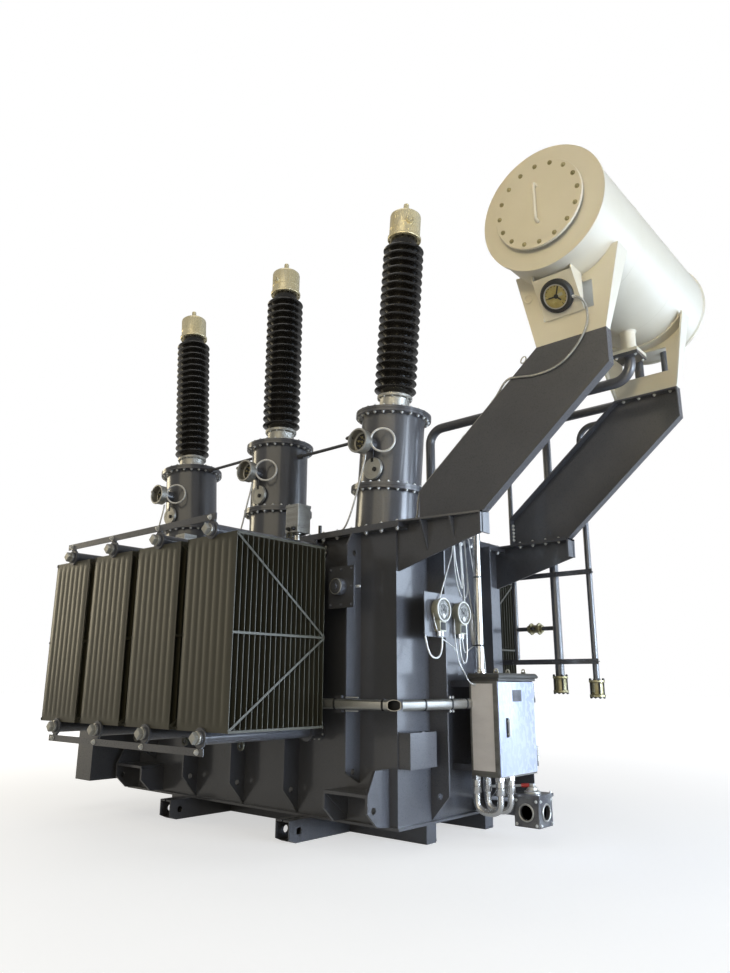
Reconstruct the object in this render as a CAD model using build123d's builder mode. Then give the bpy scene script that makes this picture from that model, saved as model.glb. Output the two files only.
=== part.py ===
from build123d import *

import os
from math import cos, radians, sin

os.makedirs("parts", exist_ok=True)

# Oil-filled power transformer. Sizes in millimetres.
# X runs along the tank towards the conservator, Y across it to the rear, Z up from the ground.

# Tank
tank_length = 3075
tank_width = 1400
tank_wall_height = 1990
bottom_plate_lip = 30
bottom_plate_thickness = 16
flange_overhang = 90
flange_thickness = 22
cover_thickness = 22

# Skids under the tank
skid_spacing = 1385
skid_width = 140
skid_height = 150
skid_overhang = 230
skid_web = 10
skid_flange = 12
skid_flange_width = 62
skid_end_chamfer_length = 65
skid_end_chamfer_height = 27
pull_hole_diameter = 50
pull_hole_from_end = 95

# Stiffening ribs on the tank walls
rib_depth = 150
rib_thickness = 14
rib_pitch = 600
rib_count = 5
rib_chamfer_height = 180
rib_short_foot_height = 262
rib_short_chamfer_height = 345
rib_head_depth = 100
rib_head_height = 90
lift_hole_drop = 145
rib_hole_diameter = 40
rib_hole_height = 176
rib_hole_depth = 75
end_rib_spacing = 640

# Jacking brackets at the tank corners
jack_plate_inset = 78
jack_plate_thickness = 20
jack_plate_top = 372
jack_plate_reach = 225
jack_plate_shoulder = 150
jack_plate_shoulder_height = 228
jack_plate_heel_height = 118
jack_plate_toe = 125
jack_plate_toe_height = 24
jack_hole_diameter = 45
jack_hole_reach = 165
jack_hole_height = 130
jack_shelf_length = 380
jack_shelf_height = 210
jack_shelf_thickness = 20
jack_gusset_drop = 150

# Panel radiators
radiator_count = 4
radiator_pitch = 607
radiator_first_inset = 733
fin_count = 19
fin_pitch = 45.5
fin_width = 520
fin_thickness = 11
fin_bottom = 625
fin_height = 1257
fin_wall_gap = 230
header_diameter = 89
header_fin_bite = 9.5
header_end_reach = 1085
header_ring_diameter = 124
header_ring_thickness = 14
plug_size = 58
plug_length = 42

# Valves between the radiators and the tank
valve_length = 130
valve_flange_diameter = 140
valve_flange_thickness = 16
valve_body_diameter = 112

# Bars that tie the outer ends of the radiators
tie_bar_height = 46
tie_bar_thickness = 8
tie_bar_overhang = 60

# Turrets and high-voltage bushings
turret_spacing = 1237
turret_from_front = 264
turret_tilt = 4.64
turret_diameter = 495
turret_flange_diameter = 595
turret_flange_thickness = 22
turret_mid_flange = 330
turret_top = 949
bushing_collar_diameter = 236
bushing_foot_diameter = 330
bushing_foot_height = 26
insulator_start = 1116
shed_end = 2405
insulator_end = 2475
insulator_core_diameter = 232
shed_diameter = 336
shed_count = 19
shed_edge = 12
cap_diameter = 266
cap_height = 239
cap_edge = 14
terminal_diameter = 44
terminal_length = 102
cap_plug_diameter = 62
cap_plug_length = 18
cap_plug_height = 115
cap_plug_root = 8
CAP_PLUG_ANGLES = {"a": 180, "b": -86, "c": -34}

# Terminal boxes of the current transformers on the turrets, with the cover hung below
ct_box_height = 647
ct_box_diameter = 180
ct_box_depth = 80
ct_box_wall = 10
ct_box_floor = 14
ct_neck_diameter = 110
ct_neck_length = 86
ct_neck_root = 60
ct_cover_diameter = 170
ct_cover_thickness = 26
ct_cover_drop = 194
ct_cover_side = 29
ct_strap_width = 24
ct_strap_thickness = 6
ct_loop_radius = 95
ct_loop_thickness = 14
ct_loop_reach = 158
ct_loop_stand = 38
ct_loop_turn = 37
turret_fit = 0.3

# Vent pipes between the turrets
vent_pipe_diameter = 27
vent_socket_diameter = 46
vent_socket_length = 60
vent_high = 922
vent_low = 814

# Low-voltage bushings on the rear of the cover
lv_count = 4
lv_pitch = 650
lv_from_front = 1130
lv_foot_diameter = 200
lv_foot_height = 20
lv_core_diameter = 110
lv_shed_diameter = 165
lv_shed_count = 5
lv_shed_pitch = 60
lv_stud_diameter = 36
lv_stud_length = 90

# Conservator and what carries it
conservator_reach = 1395
conservator_height = 3859
conservator_radius = 409
conservator_wall = 8
conservator_front_overhang = 250
conservator_end_thickness = 24
conservator_flange_radius = 421
manhole_neck_diameter = 520
manhole_neck_length = 34
manhole_cover_diameter = 600
manhole_cover_thickness = 22
manhole_bar_width = 24
manhole_bar_height = 210
manhole_bar_stand = 46
neck_diameter = 110
neck_drop = 160
vent_stub_diameter = 40
vent_stub_rise = 78
vent_stub_from_end = 100
support_front_inset = 36
support_depth = 72
support_plate = 12
support_foot_start = 185
support_foot_end = 701
support_shoulder_height = 219
support_neck_start = 1158
support_neck_end = 1636
support_top_height = 1031
support_heel_height = 798
arm_plate = 14
arm_shelf_inner = 84
arm_shelf_outer = 126
arm_root_height = 1692
arm_tip_height = 1890
arm_clearance = 2
ARM_GUSSETS = (250, 480)
arm_gusset_drop = 150
saddle_plate = 14
saddle_depth = 110
saddle_horn_depth = 150
saddle_foot_depth = 60
saddle_top_width = 722
saddle_base_width = 476
saddle_horn_height = 545
saddle_window_width = 346
saddle_window_height = 190
saddle_window_rise = 163
saddle_fit = 0.3

# Control cabinet on the conservator end
cabinet_standoff = 180
cabinet_depth = 225
cabinet_width = 515
cabinet_from_front = 620
cabinet_bottom = 300
cabinet_height = 668
cabinet_wall = 4
door_gap = 5
door_thickness = 4
door_reveal = 6
hinge_pin_diameter = 10
hinge_knuckle_diameter = 18
hinge_knuckle_length = 70
hinge_fit = 0.3
hinge_side_gap = 14
hinge_leaf = 18
hinge_inset = 110
handle_height = 110
handle_width = 18
handle_stand = 26
handle_inset = 36
roof_overhang = 28
roof_lip_height = 24
roof_thickness = 4
roof_rise = 30
bracket_size = 45
cabinet_side_plate = 8
cabinet_side_plate_depth = 380
cabinet_side_plate_bottom = 100

# Pipe from the cover through a relay to the conservator
oil_pipe_diameter = 80
oil_pipe_bend = 130
oil_pipe_from_front = 1000
oil_pipe_start = -400
oil_pipe_height = 3085
oil_pipe_end = 1415
oil_flange_size = 180
oil_flange_thickness = 24
relay_start = 420
relay_length = 300
relay_width = 200
relay_height = 240
relay_flange_diameter = 160
relay_flange_thickness = 20

# Pipes that drop behind the rear support, with valves and tie bars
drop_y = 1535
DROP_X = (440, 741, 66)
DROP_DIAMETERS = (70, 48, 40)
DROP_FEET = (985, 955, 1086)
drop_bend = 120
drop_1_top = 3120
drop_1_reach = 1290
drop_2_top = 3000
drop_2_reach = 1490
drop_3_elbow = 3085
cross_height = 1362
cross_diameter = 34
cross_valve_length = 130
cross_valve_diameter = 96
foot_valve_height = 126
foot_valve_diameter = 118
foot_valve_body_diameter = 92
foot_valve_flange = 18
pipe_tie_height = 40
pipe_tie_thickness = 8
PIPE_TIES = (1095, 1788)
pipe_tie_end = 784

# Oil level gauge under the conservator and its conduit
gauge_x = 1378
gauge_y = -60
gauge_z = 3327
gauge_lean = 35
gauge_diameter = 215
gauge_depth = 44
gauge_plate_size = 270
gauge_plate = 8
gauge_neck_diameter = 90
gauge_neck_back = 50
conduit_diameter = 16
conduit_bend = 45
conduit_web_y = 26
conduit_rail_y = 60
conduit_rise = 16

# Hoses under the cabinet and the riser above it
hose_diameter = 38
hose_bend = 94
hose_bottom = 68
HOSE_X = (200, 390)
HOSE_Y = (640, 780)
riser_diameter = 60
riser_bend = 80
riser_x = 215
riser_y = 717
riser_top = 2130
riser_end = -60

# Thermometers on a plate across the near end rib
therm_plate_thickness = 6
THERM_PLATE_Y = (115, 610)
THERM_PLATE_Z = (1241, 1549)
THERM_PLACES = ((269, 1429), (524, 1422))
therm_diameter = 150
therm_depth = 62
therm_bezel_diameter = 166
therm_bezel_depth = 20
therm_gland_diameter = 36
therm_gland_drop = 125

# Flat-oval cable ducts along the ribs
duct_height = 72
duct_depth = 50
duct_wall = 4
duct_z = 786
DUCT_FRONT_X = (-1000, 100)
DUCT_END_Y = (-165, 620)

# Nameplate bracket, drain valve, junction boxes, blanking flange and the box on the far end
NAME_Y = (11, 307)
NAME_Z = (375, 605)
name_depth = 100
name_plate = 5
drain_y = 930
drain_z = 62
drain_stub_diameter = 89
drain_stub_length = 400
drain_body = 180
drain_plate = 230
drain_flange_diameter = 160
drain_plate_thickness = 25
drain_bore_diameter = 110
drain_bore_depth = 45
JUNCTIONS = ((0, 265, 130, 215), (2, 400, 120, 120))
junction_post_diameter = 40
junction_post_height = 48
blank_x = -378
BLANK_Z = (1443, 1743)
blank_width = 248
blank_thickness = 16
blank_boss_diameter = 120
blank_boss_length = 55
FAR_BOX_Y = (-430, 250)
FAR_BOX_Z = (92, 700)
far_box_depth = 245

# Derived places
near_reach = tank_length / 2 + conservator_reach + conservator_flange_radius
far_reach = tank_length / 2 + far_box_depth
tank_x = (far_reach - near_reach) / 2
end_wall_x = tank_x + tank_length / 2
far_wall_x = tank_x - tank_length / 2
front_wall_y = -tank_width / 2
base_z = skid_height
wall_top_z = base_z + tank_wall_height
cover_bottom_z = wall_top_z + flange_thickness
cover_top_z = cover_bottom_z + cover_thickness
SIDES = {"front": -1, "rear": 1}


def write_piece(builder, node):
    """Label a finished piece and write it as the node's file."""
    builder.part.label = node
    export_step(builder.part, f"parts/{node}.step")


def side_plane(x):
    """Plane across the tank at x: sketch x runs along +Y, sketch y along +Z."""
    return Plane(origin=(x, 0, 0), x_dir=(0, 1, 0), z_dir=(1, 0, 0))


def long_plane(y):
    """Plane along the tank at y: sketch x runs along +X, sketch y along +Z, facing the front."""
    return Plane(origin=(0, y, 0), x_dir=(1, 0, 0), z_dir=(0, -1, 0))


def station(x, y, z):
    """Point measured from the tank's lower front corner at the conservator end."""
    return (end_wall_x + x, front_wall_y + y, base_z + z)


def disc(origin, direction, diameter, length):
    """Round bar from a point along a direction."""
    with BuildPart() as piece:
        with BuildSketch(Plane(origin=origin, z_dir=direction)):
            Circle(diameter / 2)
        extrude(amount=length)
    return piece.part


def block(low, high):
    """Box between its lowest and its highest corner."""
    with BuildPart() as piece:
        with BuildSketch(Plane.XY.offset(low[2])):
            with Locations(((low[0] + high[0]) / 2, (low[1] + high[1]) / 2)):
                Rectangle(high[0] - low[0], high[1] - low[1])
        extrude(amount=high[2] - low[2])
    return piece.part


def tube(points, diameter, bend):
    """Round tube along straight runs joined by bends."""
    with BuildPart() as run:
        with BuildLine() as route:
            FilletPolyline(*points, radius=bend)
        with BuildSketch(Plane(origin=route.line @ 0, z_dir=route.line % 0)):
            Circle(diameter / 2)
        sweep()
    return run.part


def joined(pieces, cuts=()):
    """One node from pieces that are welded where they meet, less what is cut away."""
    with BuildPart() as whole:
        add(list(pieces))
        if cuts:
            add(list(cuts), mode=Mode.SUBTRACT)
    return whole


# Tank body: one closed housing on a bottom plate that stands out as a lip
with BuildPart() as tank_body:
    with BuildSketch(Plane.XY.offset(base_z)):
        with Locations((tank_x, 0)):
            Rectangle(tank_length, tank_width)
    extrude(amount=tank_wall_height + flange_thickness)
    with BuildSketch(Plane.XY.offset(base_z)):
        with Locations((tank_x, 0)):
            Rectangle(tank_length + 2 * bottom_plate_lip, tank_width + 2 * bottom_plate_lip)
    extrude(amount=bottom_plate_thickness)
write_piece(tank_body, "tank_body")

with BuildPart() as tank_flange:
    with BuildSketch(Plane.XY.offset(wall_top_z)):
        with Locations((tank_x, 0)):
            Rectangle(tank_length + 2 * flange_overhang, tank_width + 2 * flange_overhang)
            Rectangle(tank_length, tank_width, mode=Mode.SUBTRACT)
    extrude(amount=flange_thickness)
write_piece(tank_flange, "tank_flange")

with BuildPart() as tank_cover:
    with BuildSketch(Plane.XY.offset(cover_bottom_z)):
        with Locations((tank_x, 0)):
            Rectangle(tank_length + 2 * flange_overhang, tank_width + 2 * flange_overhang)
    extrude(amount=cover_thickness)
write_piece(tank_cover, "tank_cover")


# Skids: each is a pair of channels with the webs outward, pierced at the ends for pulling
def skid(x):
    half_length = tank_width / 2 + skid_overhang
    with BuildPart() as beam:
        for hand in (-1, 1):
            web_x = x + hand * (skid_width - skid_web) / 2
            flange_x = x + hand * (skid_width - skid_flange_width) / 2
            with BuildSketch(Plane.XZ):
                with Locations((web_x, skid_height / 2)):
                    Rectangle(skid_web, skid_height)
                with Locations((flange_x, skid_flange / 2), (flange_x, skid_height - skid_flange / 2)):
                    Rectangle(skid_flange_width, skid_flange)
            extrude(amount=half_length, both=True)
        for end in (-1, 1):
            with BuildSketch(side_plane(x)):
                with BuildLine():
                    Polyline(
                        (end * half_length, 0),
                        (end * (half_length - skid_end_chamfer_length), 0),
                        (end * half_length, skid_end_chamfer_height),
                        close=True,
                    )
                make_face()
            extrude(amount=skid_width, both=True, mode=Mode.SUBTRACT)
            with BuildSketch(side_plane(x)):
                with Locations((end * (half_length - pull_hole_from_end), skid_height / 2)):
                    Circle(pull_hole_diameter / 2)
            extrude(amount=skid_width, both=True, mode=Mode.SUBTRACT)
    return beam.part


write_piece(joined([skid(tank_x + hand * skid_spacing / 2) for hand in (-1, 1)]), "skids")


# Ribs on the long walls: the two outer ones stop above the jacking brackets
def wall_ribs(side):
    wall_y = side * tank_width / 2
    with BuildPart() as ribs:
        for place in range(rib_count):
            offset_x = (place - (rib_count - 1) / 2) * rib_pitch
            outer = place in (0, rib_count - 1)
            foot = base_z + (rib_short_foot_height if outer else bottom_plate_thickness)
            shoulder = base_z + (rib_short_chamfer_height if outer else rib_chamfer_height)
            hole_z = shoulder + rib_hole_height - rib_chamfer_height
            head_z = wall_top_z - rib_head_height
            head = [(rib_depth, head_z), (rib_head_depth, wall_top_z)] if outer else [(rib_depth, wall_top_z)]
            outline = [(0, foot), (rib_depth, shoulder), *head, (0, wall_top_z)]
            with BuildSketch(side_plane(tank_x + offset_x)):
                with BuildLine():
                    Polyline(*[(wall_y + side * depth, height) for depth, height in outline], close=True)
                make_face()
                with Locations((wall_y + side * rib_hole_depth, hole_z)):
                    Circle(rib_hole_diameter / 2, mode=Mode.SUBTRACT)
                if outer:
                    with Locations((wall_y + side * rib_hole_depth, wall_top_z - lift_hole_drop)):
                        Circle(rib_hole_diameter / 2, mode=Mode.SUBTRACT)
            extrude(amount=rib_thickness / 2, both=True)
    return ribs.part


write_piece(joined([wall_ribs(side) for side in SIDES.values()]), "wall_ribs")


def end_ribs(wall_x, hand):
    with BuildPart() as ribs:
        for side in (-1, 1):
            with BuildSketch(long_plane(side * end_rib_spacing / 2)):
                with BuildLine():
                    Polyline(
                        (wall_x, base_z + bottom_plate_thickness),
                        (wall_x + hand * rib_depth, base_z + rib_chamfer_height),
                        (wall_x + hand * rib_depth, wall_top_z),
                        (wall_x, wall_top_z),
                        close=True,
                    )
                make_face()
                with Locations((wall_x + hand * rib_hole_depth, base_z + rib_hole_height)):
                    Circle(rib_hole_diameter / 2, mode=Mode.SUBTRACT)
            extrude(amount=rib_thickness / 2, both=True)
    return ribs.part


write_piece(joined([end_ribs(end_wall_x, 1), end_ribs(far_wall_x, -1)]), "end_ribs")

# Jacking brackets: a tall cheek plate, a shelf on it for the jack and a gusset under the shelf
with BuildPart() as jacking_brackets:
    for hand in (-1, 1):
        cheek_x = tank_x + hand * (tank_length / 2 - jack_plate_inset)
        shelf_end_x = cheek_x - hand * jack_shelf_length
        for side in (-1, 1):
            wall_y = side * tank_width / 2
            foot_y = wall_y + side * bottom_plate_lip
            lip_z = base_z + bottom_plate_thickness
            with BuildSketch(side_plane(cheek_x)):
                with BuildLine():
                    Polyline(
                        (wall_y, base_z + jack_plate_top),
                        (wall_y + side * jack_plate_shoulder, base_z + jack_plate_top),
                        (wall_y + side * jack_plate_reach, base_z + jack_plate_shoulder_height),
                        (wall_y + side * jack_plate_reach, base_z + jack_plate_heel_height),
                        (wall_y + side * jack_plate_toe, base_z + jack_plate_toe_height),
                        (foot_y, lip_z),
                        (wall_y, lip_z),
                        close=True,
                    )
                make_face()
                with Locations((wall_y + side * jack_hole_reach, base_z + jack_hole_height)):
                    Circle(jack_hole_diameter / 2, mode=Mode.SUBTRACT)
            extrude(amount=jack_plate_thickness / 2, both=True)
            with BuildSketch(Plane.XY.offset(base_z + jack_shelf_height)):
                with Locations(((cheek_x + shelf_end_x) / 2, wall_y + side * jack_plate_reach / 2)):
                    Rectangle(jack_shelf_length, jack_plate_reach)
            extrude(amount=jack_shelf_thickness)
            with BuildSketch(side_plane(shelf_end_x + hand * jack_plate_thickness / 2)):
                with BuildLine():
                    Polyline(
                        (wall_y, base_z + jack_shelf_height),
                        (wall_y + side * jack_plate_reach, base_z + jack_shelf_height),
                        (foot_y, base_z + jack_shelf_height - jack_gusset_drop),
                        (wall_y, base_z + jack_shelf_height - jack_gusset_drop),
                        close=True,
                    )
                make_face()
            extrude(amount=jack_plate_thickness / 2, both=True)
write_piece(jacking_brackets, "jacking_brackets")

# Radiators: a stack of panels carried by an upper and a lower header pipe
lower_header_z = base_z + fin_bottom - header_diameter / 2 + header_fin_bite
upper_header_z = base_z + fin_bottom + fin_height + header_diameter / 2 - header_fin_bite
HEADERS = (lower_header_z, upper_header_z)
radiator_x = [end_wall_x - radiator_first_inset - place * radiator_pitch for place in range(radiator_count)]


def radiator(x, side):
    wall_y = side * tank_width / 2
    header_run = header_end_reach - valve_length
    with BuildPart() as bank:
        stack_y = wall_y + side * (fin_wall_gap + (fin_thickness + (fin_count - 1) * fin_pitch) / 2)
        with BuildSketch(Plane.XY.offset(base_z + fin_bottom)):
            with Locations((x, stack_y)):
                with GridLocations(fin_width, fin_pitch, 1, fin_count):
                    Rectangle(fin_width, fin_thickness)
        extrude(amount=fin_height)
        for header_z in HEADERS:
            with BuildSketch(long_plane(wall_y + side * valve_length)):
                with Locations((x, header_z)):
                    Circle(header_diameter / 2)
            extrude(amount=-side * header_run)
            with BuildSketch(long_plane(wall_y + side * header_end_reach)):
                with Locations((x, header_z)):
                    Circle(header_ring_diameter / 2)
            extrude(amount=side * header_ring_thickness)
            with BuildSketch(long_plane(wall_y + side * header_end_reach)):
                with Locations((x, header_z)):
                    Rectangle(plug_size, plug_size)
            extrude(amount=-side * plug_length)
    return bank.part


for name, side in SIDES.items():
    write_piece(joined([radiator(x, side) for x in radiator_x]), f"radiators_{name}")


# Valves: a flanged body on each header, bolted to the tank wall
def radiator_valves(side):
    wall_y = side * tank_width / 2
    body_length = valve_length - 2 * valve_flange_thickness
    with BuildPart() as valves:
        for x in radiator_x:
            for header_z in HEADERS:
                for start, length, diameter in (
                    (0, valve_flange_thickness, valve_flange_diameter),
                    (valve_flange_thickness, body_length, valve_body_diameter),
                    (valve_length - valve_flange_thickness, valve_flange_thickness, valve_flange_diameter),
                ):
                    with BuildSketch(long_plane(wall_y + side * start)):
                        with Locations((x, header_z)):
                            Circle(diameter / 2)
                    extrude(amount=-side * length)
    return valves.part


write_piece(joined([radiator_valves(side) for side in SIDES.values()]), "radiator_valves")

# Tie bars under the lower header rings and over the upper ones
with BuildPart() as radiator_tie_bars:
    tie_length = (radiator_count - 1) * radiator_pitch + 2 * tie_bar_overhang
    tie_x = (radiator_x[0] + radiator_x[-1]) / 2
    for side in (-1, 1):
        tie_y = side * (tank_width / 2 + header_end_reach - header_ring_thickness / 2)
        for tie_z in (
            lower_header_z - header_ring_diameter / 2 - tie_bar_height / 2,
            upper_header_z + header_ring_diameter / 2 + tie_bar_height / 2,
        ):
            with BuildSketch(side_plane(tie_x)):
                with Locations((tie_y, tie_z)):
                    Rectangle(tie_bar_thickness, tie_bar_height)
            extrude(amount=tie_length / 2, both=True)
write_piece(radiator_tie_bars, "radiator_tie_bars")

# Turrets and bushings: turned pieces on an axis that leans outward on the outer phases
turret_y = front_wall_y + turret_from_front
TURRETS = {"a": -1, "b": 0, "c": 1}


def turret_frame(phase):
    """Sketch plane of a turret (radius along x, height along its axis) and the axis itself."""
    lean = radians(turret_tilt * TURRETS[phase])
    origin = (tank_x + TURRETS[phase] * turret_spacing, turret_y, cover_top_z)
    radial = (cos(lean), 0, -sin(lean))
    along = (sin(lean), 0, cos(lean))
    return Plane(origin=origin, x_dir=radial, z_dir=(0, -1, 0)), Axis(origin, along)


def turned(phase, outline):
    """Revolve an outline of (radius, height) points about a turret's axis."""
    plane, axis = turret_frame(phase)
    with BuildPart() as piece:
        with BuildSketch(plane):
            with BuildLine():
                Polyline(*outline, close=True)
            make_face()
        revolve(axis=axis)
    return piece.part


def turret(phase):
    plane, axis = turret_frame(phase)
    body = turret_diameter / 2
    rim = turret_flange_diameter / 2
    sunk = turret_diameter * sin(radians(turret_tilt))
    with BuildPart() as piece:
        with BuildSketch(plane):
            with BuildLine():
                Polyline(
                    (0, -sunk),
                    (body, -sunk),
                    (body, turret_mid_flange - turret_flange_thickness),
                    (rim, turret_mid_flange - turret_flange_thickness),
                    (rim, turret_mid_flange + turret_flange_thickness),
                    (body, turret_mid_flange + turret_flange_thickness),
                    (body, turret_top - 2 * turret_flange_thickness),
                    (rim, turret_top - 2 * turret_flange_thickness),
                    (rim, turret_top),
                    (0, turret_top),
                    close=True,
                )
            make_face()
        revolve(axis=axis)
        split(bisect_by=Plane.XY.offset(cover_top_z), keep=Keep.TOP)
    return piece.part


def bushing_collar(phase):
    """Flanged collar between the turret's top plate and the insulator."""
    return turned(
        phase,
        [
            (0, turret_top),
            (bushing_foot_diameter / 2, turret_top),
            (bushing_foot_diameter / 2, turret_top + bushing_foot_height),
            (bushing_collar_diameter / 2, turret_top + bushing_foot_height),
            (bushing_collar_diameter / 2, insulator_start),
            (0, insulator_start),
        ],
    )


def shed_ripple(core, tip, start, pitch, count, edge):
    """Outline points of a row of sheds with blunt edges."""
    points = []
    for shed in range(count):
        foot = start + shed * pitch
        middle = foot + pitch / 2
        points += [(core, foot), (tip, middle - edge), (tip, middle + edge)]
    return points


def porcelain(phase):
    """Insulator with its sheds and the plain neck under the cap."""
    core = insulator_core_diameter / 2
    pitch = (shed_end - insulator_start) / shed_count
    return turned(
        phase,
        [
            (0, insulator_start),
            *shed_ripple(core, shed_diameter / 2, insulator_start, pitch, shed_count, shed_edge),
            (core, shed_end),
            (core, insulator_end),
            (0, insulator_end),
        ],
    )


def along_turret(phase, height):
    """Point on a turret's axis."""
    plane, axis = turret_frame(phase)
    return plane.origin + axis.direction * height


def bushing_cap(phase):
    top = insulator_end + cap_height
    rim = cap_diameter / 2
    body = turned(
        phase,
        [
            (0, insulator_end),
            (rim, insulator_end),
            (rim, top - cap_edge),
            (rim - cap_edge, top),
            (terminal_diameter / 2, top),
            (terminal_diameter / 2, top + terminal_length),
            (0, top + terminal_length),
        ],
    )
    turn = radians(CAP_PLUG_ANGLES[phase])
    outward = Vector(cos(turn), sin(turn), 0)
    seat = along_turret(phase, insulator_end + cap_plug_height) + outward * (rim - cap_plug_root)
    plug = disc(seat, outward, cap_plug_diameter, cap_plug_root + cap_plug_length)
    return joined([body, plug]).part


def turret_core(phase, radius):
    """Round bar on a turret's axis that trims what meets the turret."""
    plane, axis = turret_frame(phase)
    return disc(plane.origin, axis.direction, 2 * radius, insulator_start)


def ct_terminal_box(phase):
    """Open cup on a neck, with its cover hung below by a strap and a loop of conduit at its side."""
    centre = along_turret(phase, ct_box_height)
    x, z = centre.X, centre.Z
    skin_y = turret_y - turret_diameter / 2
    back_y = skin_y - ct_neck_length
    mouth_y = back_y - ct_box_depth
    cover_y = skin_y - turret_fit - ct_cover_thickness
    cover_x = x + ct_cover_side
    inward = (0, 1, 0)
    neck = disc((x, back_y, z), inward, ct_neck_diameter, ct_neck_length + ct_neck_root)
    cup = disc((x, mouth_y, z), inward, ct_box_diameter, ct_box_depth)
    hollow = disc((x, mouth_y, z), inward, ct_box_diameter - 2 * ct_box_wall, ct_box_depth - ct_box_floor)
    cover = disc((cover_x, cover_y, z - ct_cover_drop), inward, ct_cover_diameter, ct_cover_thickness)
    strap = block(
        (cover_x - ct_strap_width / 2, cover_y, z - ct_cover_drop),
        (cover_x + ct_strap_width / 2, cover_y + ct_strap_thickness, z),
    )
    facing = (sin(radians(ct_loop_turn)), -cos(radians(ct_loop_turn)), 0)
    with BuildPart(Plane(origin=(x + ct_loop_reach, back_y + ct_loop_stand, z), z_dir=facing)) as loop:
        Torus(ct_loop_radius, ct_loop_thickness / 2)
    trim = turret_core(phase, turret_diameter / 2 + turret_fit)
    return joined([neck, cup, cover, strap, loop.part], [hollow, trim]).part


def vent_pipe(first, second, height, radius):
    """Straight pipe with a socket at each end, trimmed to fit between two turrets."""
    z = along_turret("b", height).Z
    start_x = along_turret(first, height).X
    end_x = along_turret(second, height).X
    run = disc((start_x, turret_y, z), (1, 0, 0), vent_pipe_diameter, end_x - start_x)
    sockets = [
        disc((x, turret_y, z), (hand, 0, 0), vent_socket_diameter, radius + vent_socket_length)
        for x, hand in ((start_x, 1), (end_x, -1))
    ]
    return joined([run, *sockets], [turret_core(phase, radius + turret_fit) for phase in (first, second)]).part


def lv_bushing(x):
    core = lv_core_diameter / 2
    top = lv_foot_height + lv_shed_count * lv_shed_pitch
    with BuildPart() as piece:
        seat = (x, front_wall_y + lv_from_front, cover_top_z)
        with BuildSketch(Plane(origin=seat, x_dir=(1, 0, 0), z_dir=(0, -1, 0))):
            with BuildLine():
                Polyline(
                    (0, 0),
                    (lv_foot_diameter / 2, 0),
                    (lv_foot_diameter / 2, lv_foot_height),
                    *shed_ripple(core, lv_shed_diameter / 2, lv_foot_height, lv_shed_pitch, lv_shed_count, shed_edge),
                    (core, top),
                    (lv_stud_diameter / 2, top),
                    (lv_stud_diameter / 2, top + lv_stud_length),
                    (0, top + lv_stud_length),
                    close=True,
                )
            make_face()
        revolve(axis=Axis(seat, (0, 0, 1)))
    return piece.part


write_piece(joined([turret(phase) for phase in TURRETS]), "turrets")
write_piece(joined([bushing_collar(phase) for phase in TURRETS]), "bushing_collars")
write_piece(joined([porcelain(phase) for phase in TURRETS]), "bushings")
write_piece(joined([bushing_cap(phase) for phase in TURRETS]), "bushing_caps")
write_piece(joined([ct_terminal_box(phase) for phase in TURRETS]), "ct_terminal_boxes")
rim_radius = turret_flange_diameter / 2
body_radius = turret_diameter / 2
vents = [vent_pipe("a", "b", vent_high, rim_radius), vent_pipe("b", "c", vent_low, body_radius)]
write_piece(joined(vents), "vent_pipes")
lv_x = [tank_x + (place - (lv_count - 1) / 2) * lv_pitch for place in range(lv_count)]
write_piece(joined([lv_bushing(x) for x in lv_x]), "lv_bushings")

# Conservator: a shell with flanged ends, one of them with a bolted manhole cover
conservator_x = end_wall_x + conservator_reach
conservator_z = base_z + conservator_height
conservator_half = tank_width / 2 + conservator_front_overhang
shell_half = conservator_half - conservator_end_thickness

shell_bottom_z = conservator_z - conservator_radius
shell_skin = conservator_radius - conservator_wall / 2
oil_pipe_y = front_wall_y + oil_pipe_from_front
vent_stub_y = -shell_half + vent_stub_from_end

with BuildPart() as conservator_shell:
    with BuildSketch(Plane.XZ):
        with Locations((conservator_x, conservator_z)):
            Circle(conservator_radius)
    extrude(amount=shell_half, both=True)
    add(disc((end_wall_x + oil_pipe_end, oil_pipe_y, conservator_z - shell_skin), (0, 0, -1), neck_diameter,
             neck_drop + shell_skin - conservator_radius))
    add(disc((conservator_x, vent_stub_y, conservator_z + shell_skin), (0, 0, 1), vent_stub_diameter,
             vent_stub_rise + conservator_radius - shell_skin))
    with BuildSketch(Plane.XZ):
        with Locations((conservator_x, conservator_z)):
            Circle(conservator_radius - conservator_wall)
    extrude(amount=shell_half, both=True, mode=Mode.SUBTRACT)
write_piece(conservator_shell, "conservator_shell")

with BuildPart() as conservator_end_front:
    with BuildSketch(long_plane(-shell_half)):
        with Locations((conservator_x, conservator_z)):
            Circle(conservator_flange_radius)
    extrude(amount=conservator_end_thickness)
    with BuildSketch(long_plane(-conservator_half)):
        with Locations((conservator_x, conservator_z)):
            Circle(manhole_neck_diameter / 2)
    extrude(amount=manhole_neck_length)

with BuildPart() as conservator_end_rear:
    with BuildSketch(long_plane(shell_half)):
        with Locations((conservator_x, conservator_z)):
            Circle(conservator_flange_radius)
    extrude(amount=-conservator_end_thickness)
write_piece(joined([conservator_end_front.part, conservator_end_rear.part]), "conservator_ends")

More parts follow.
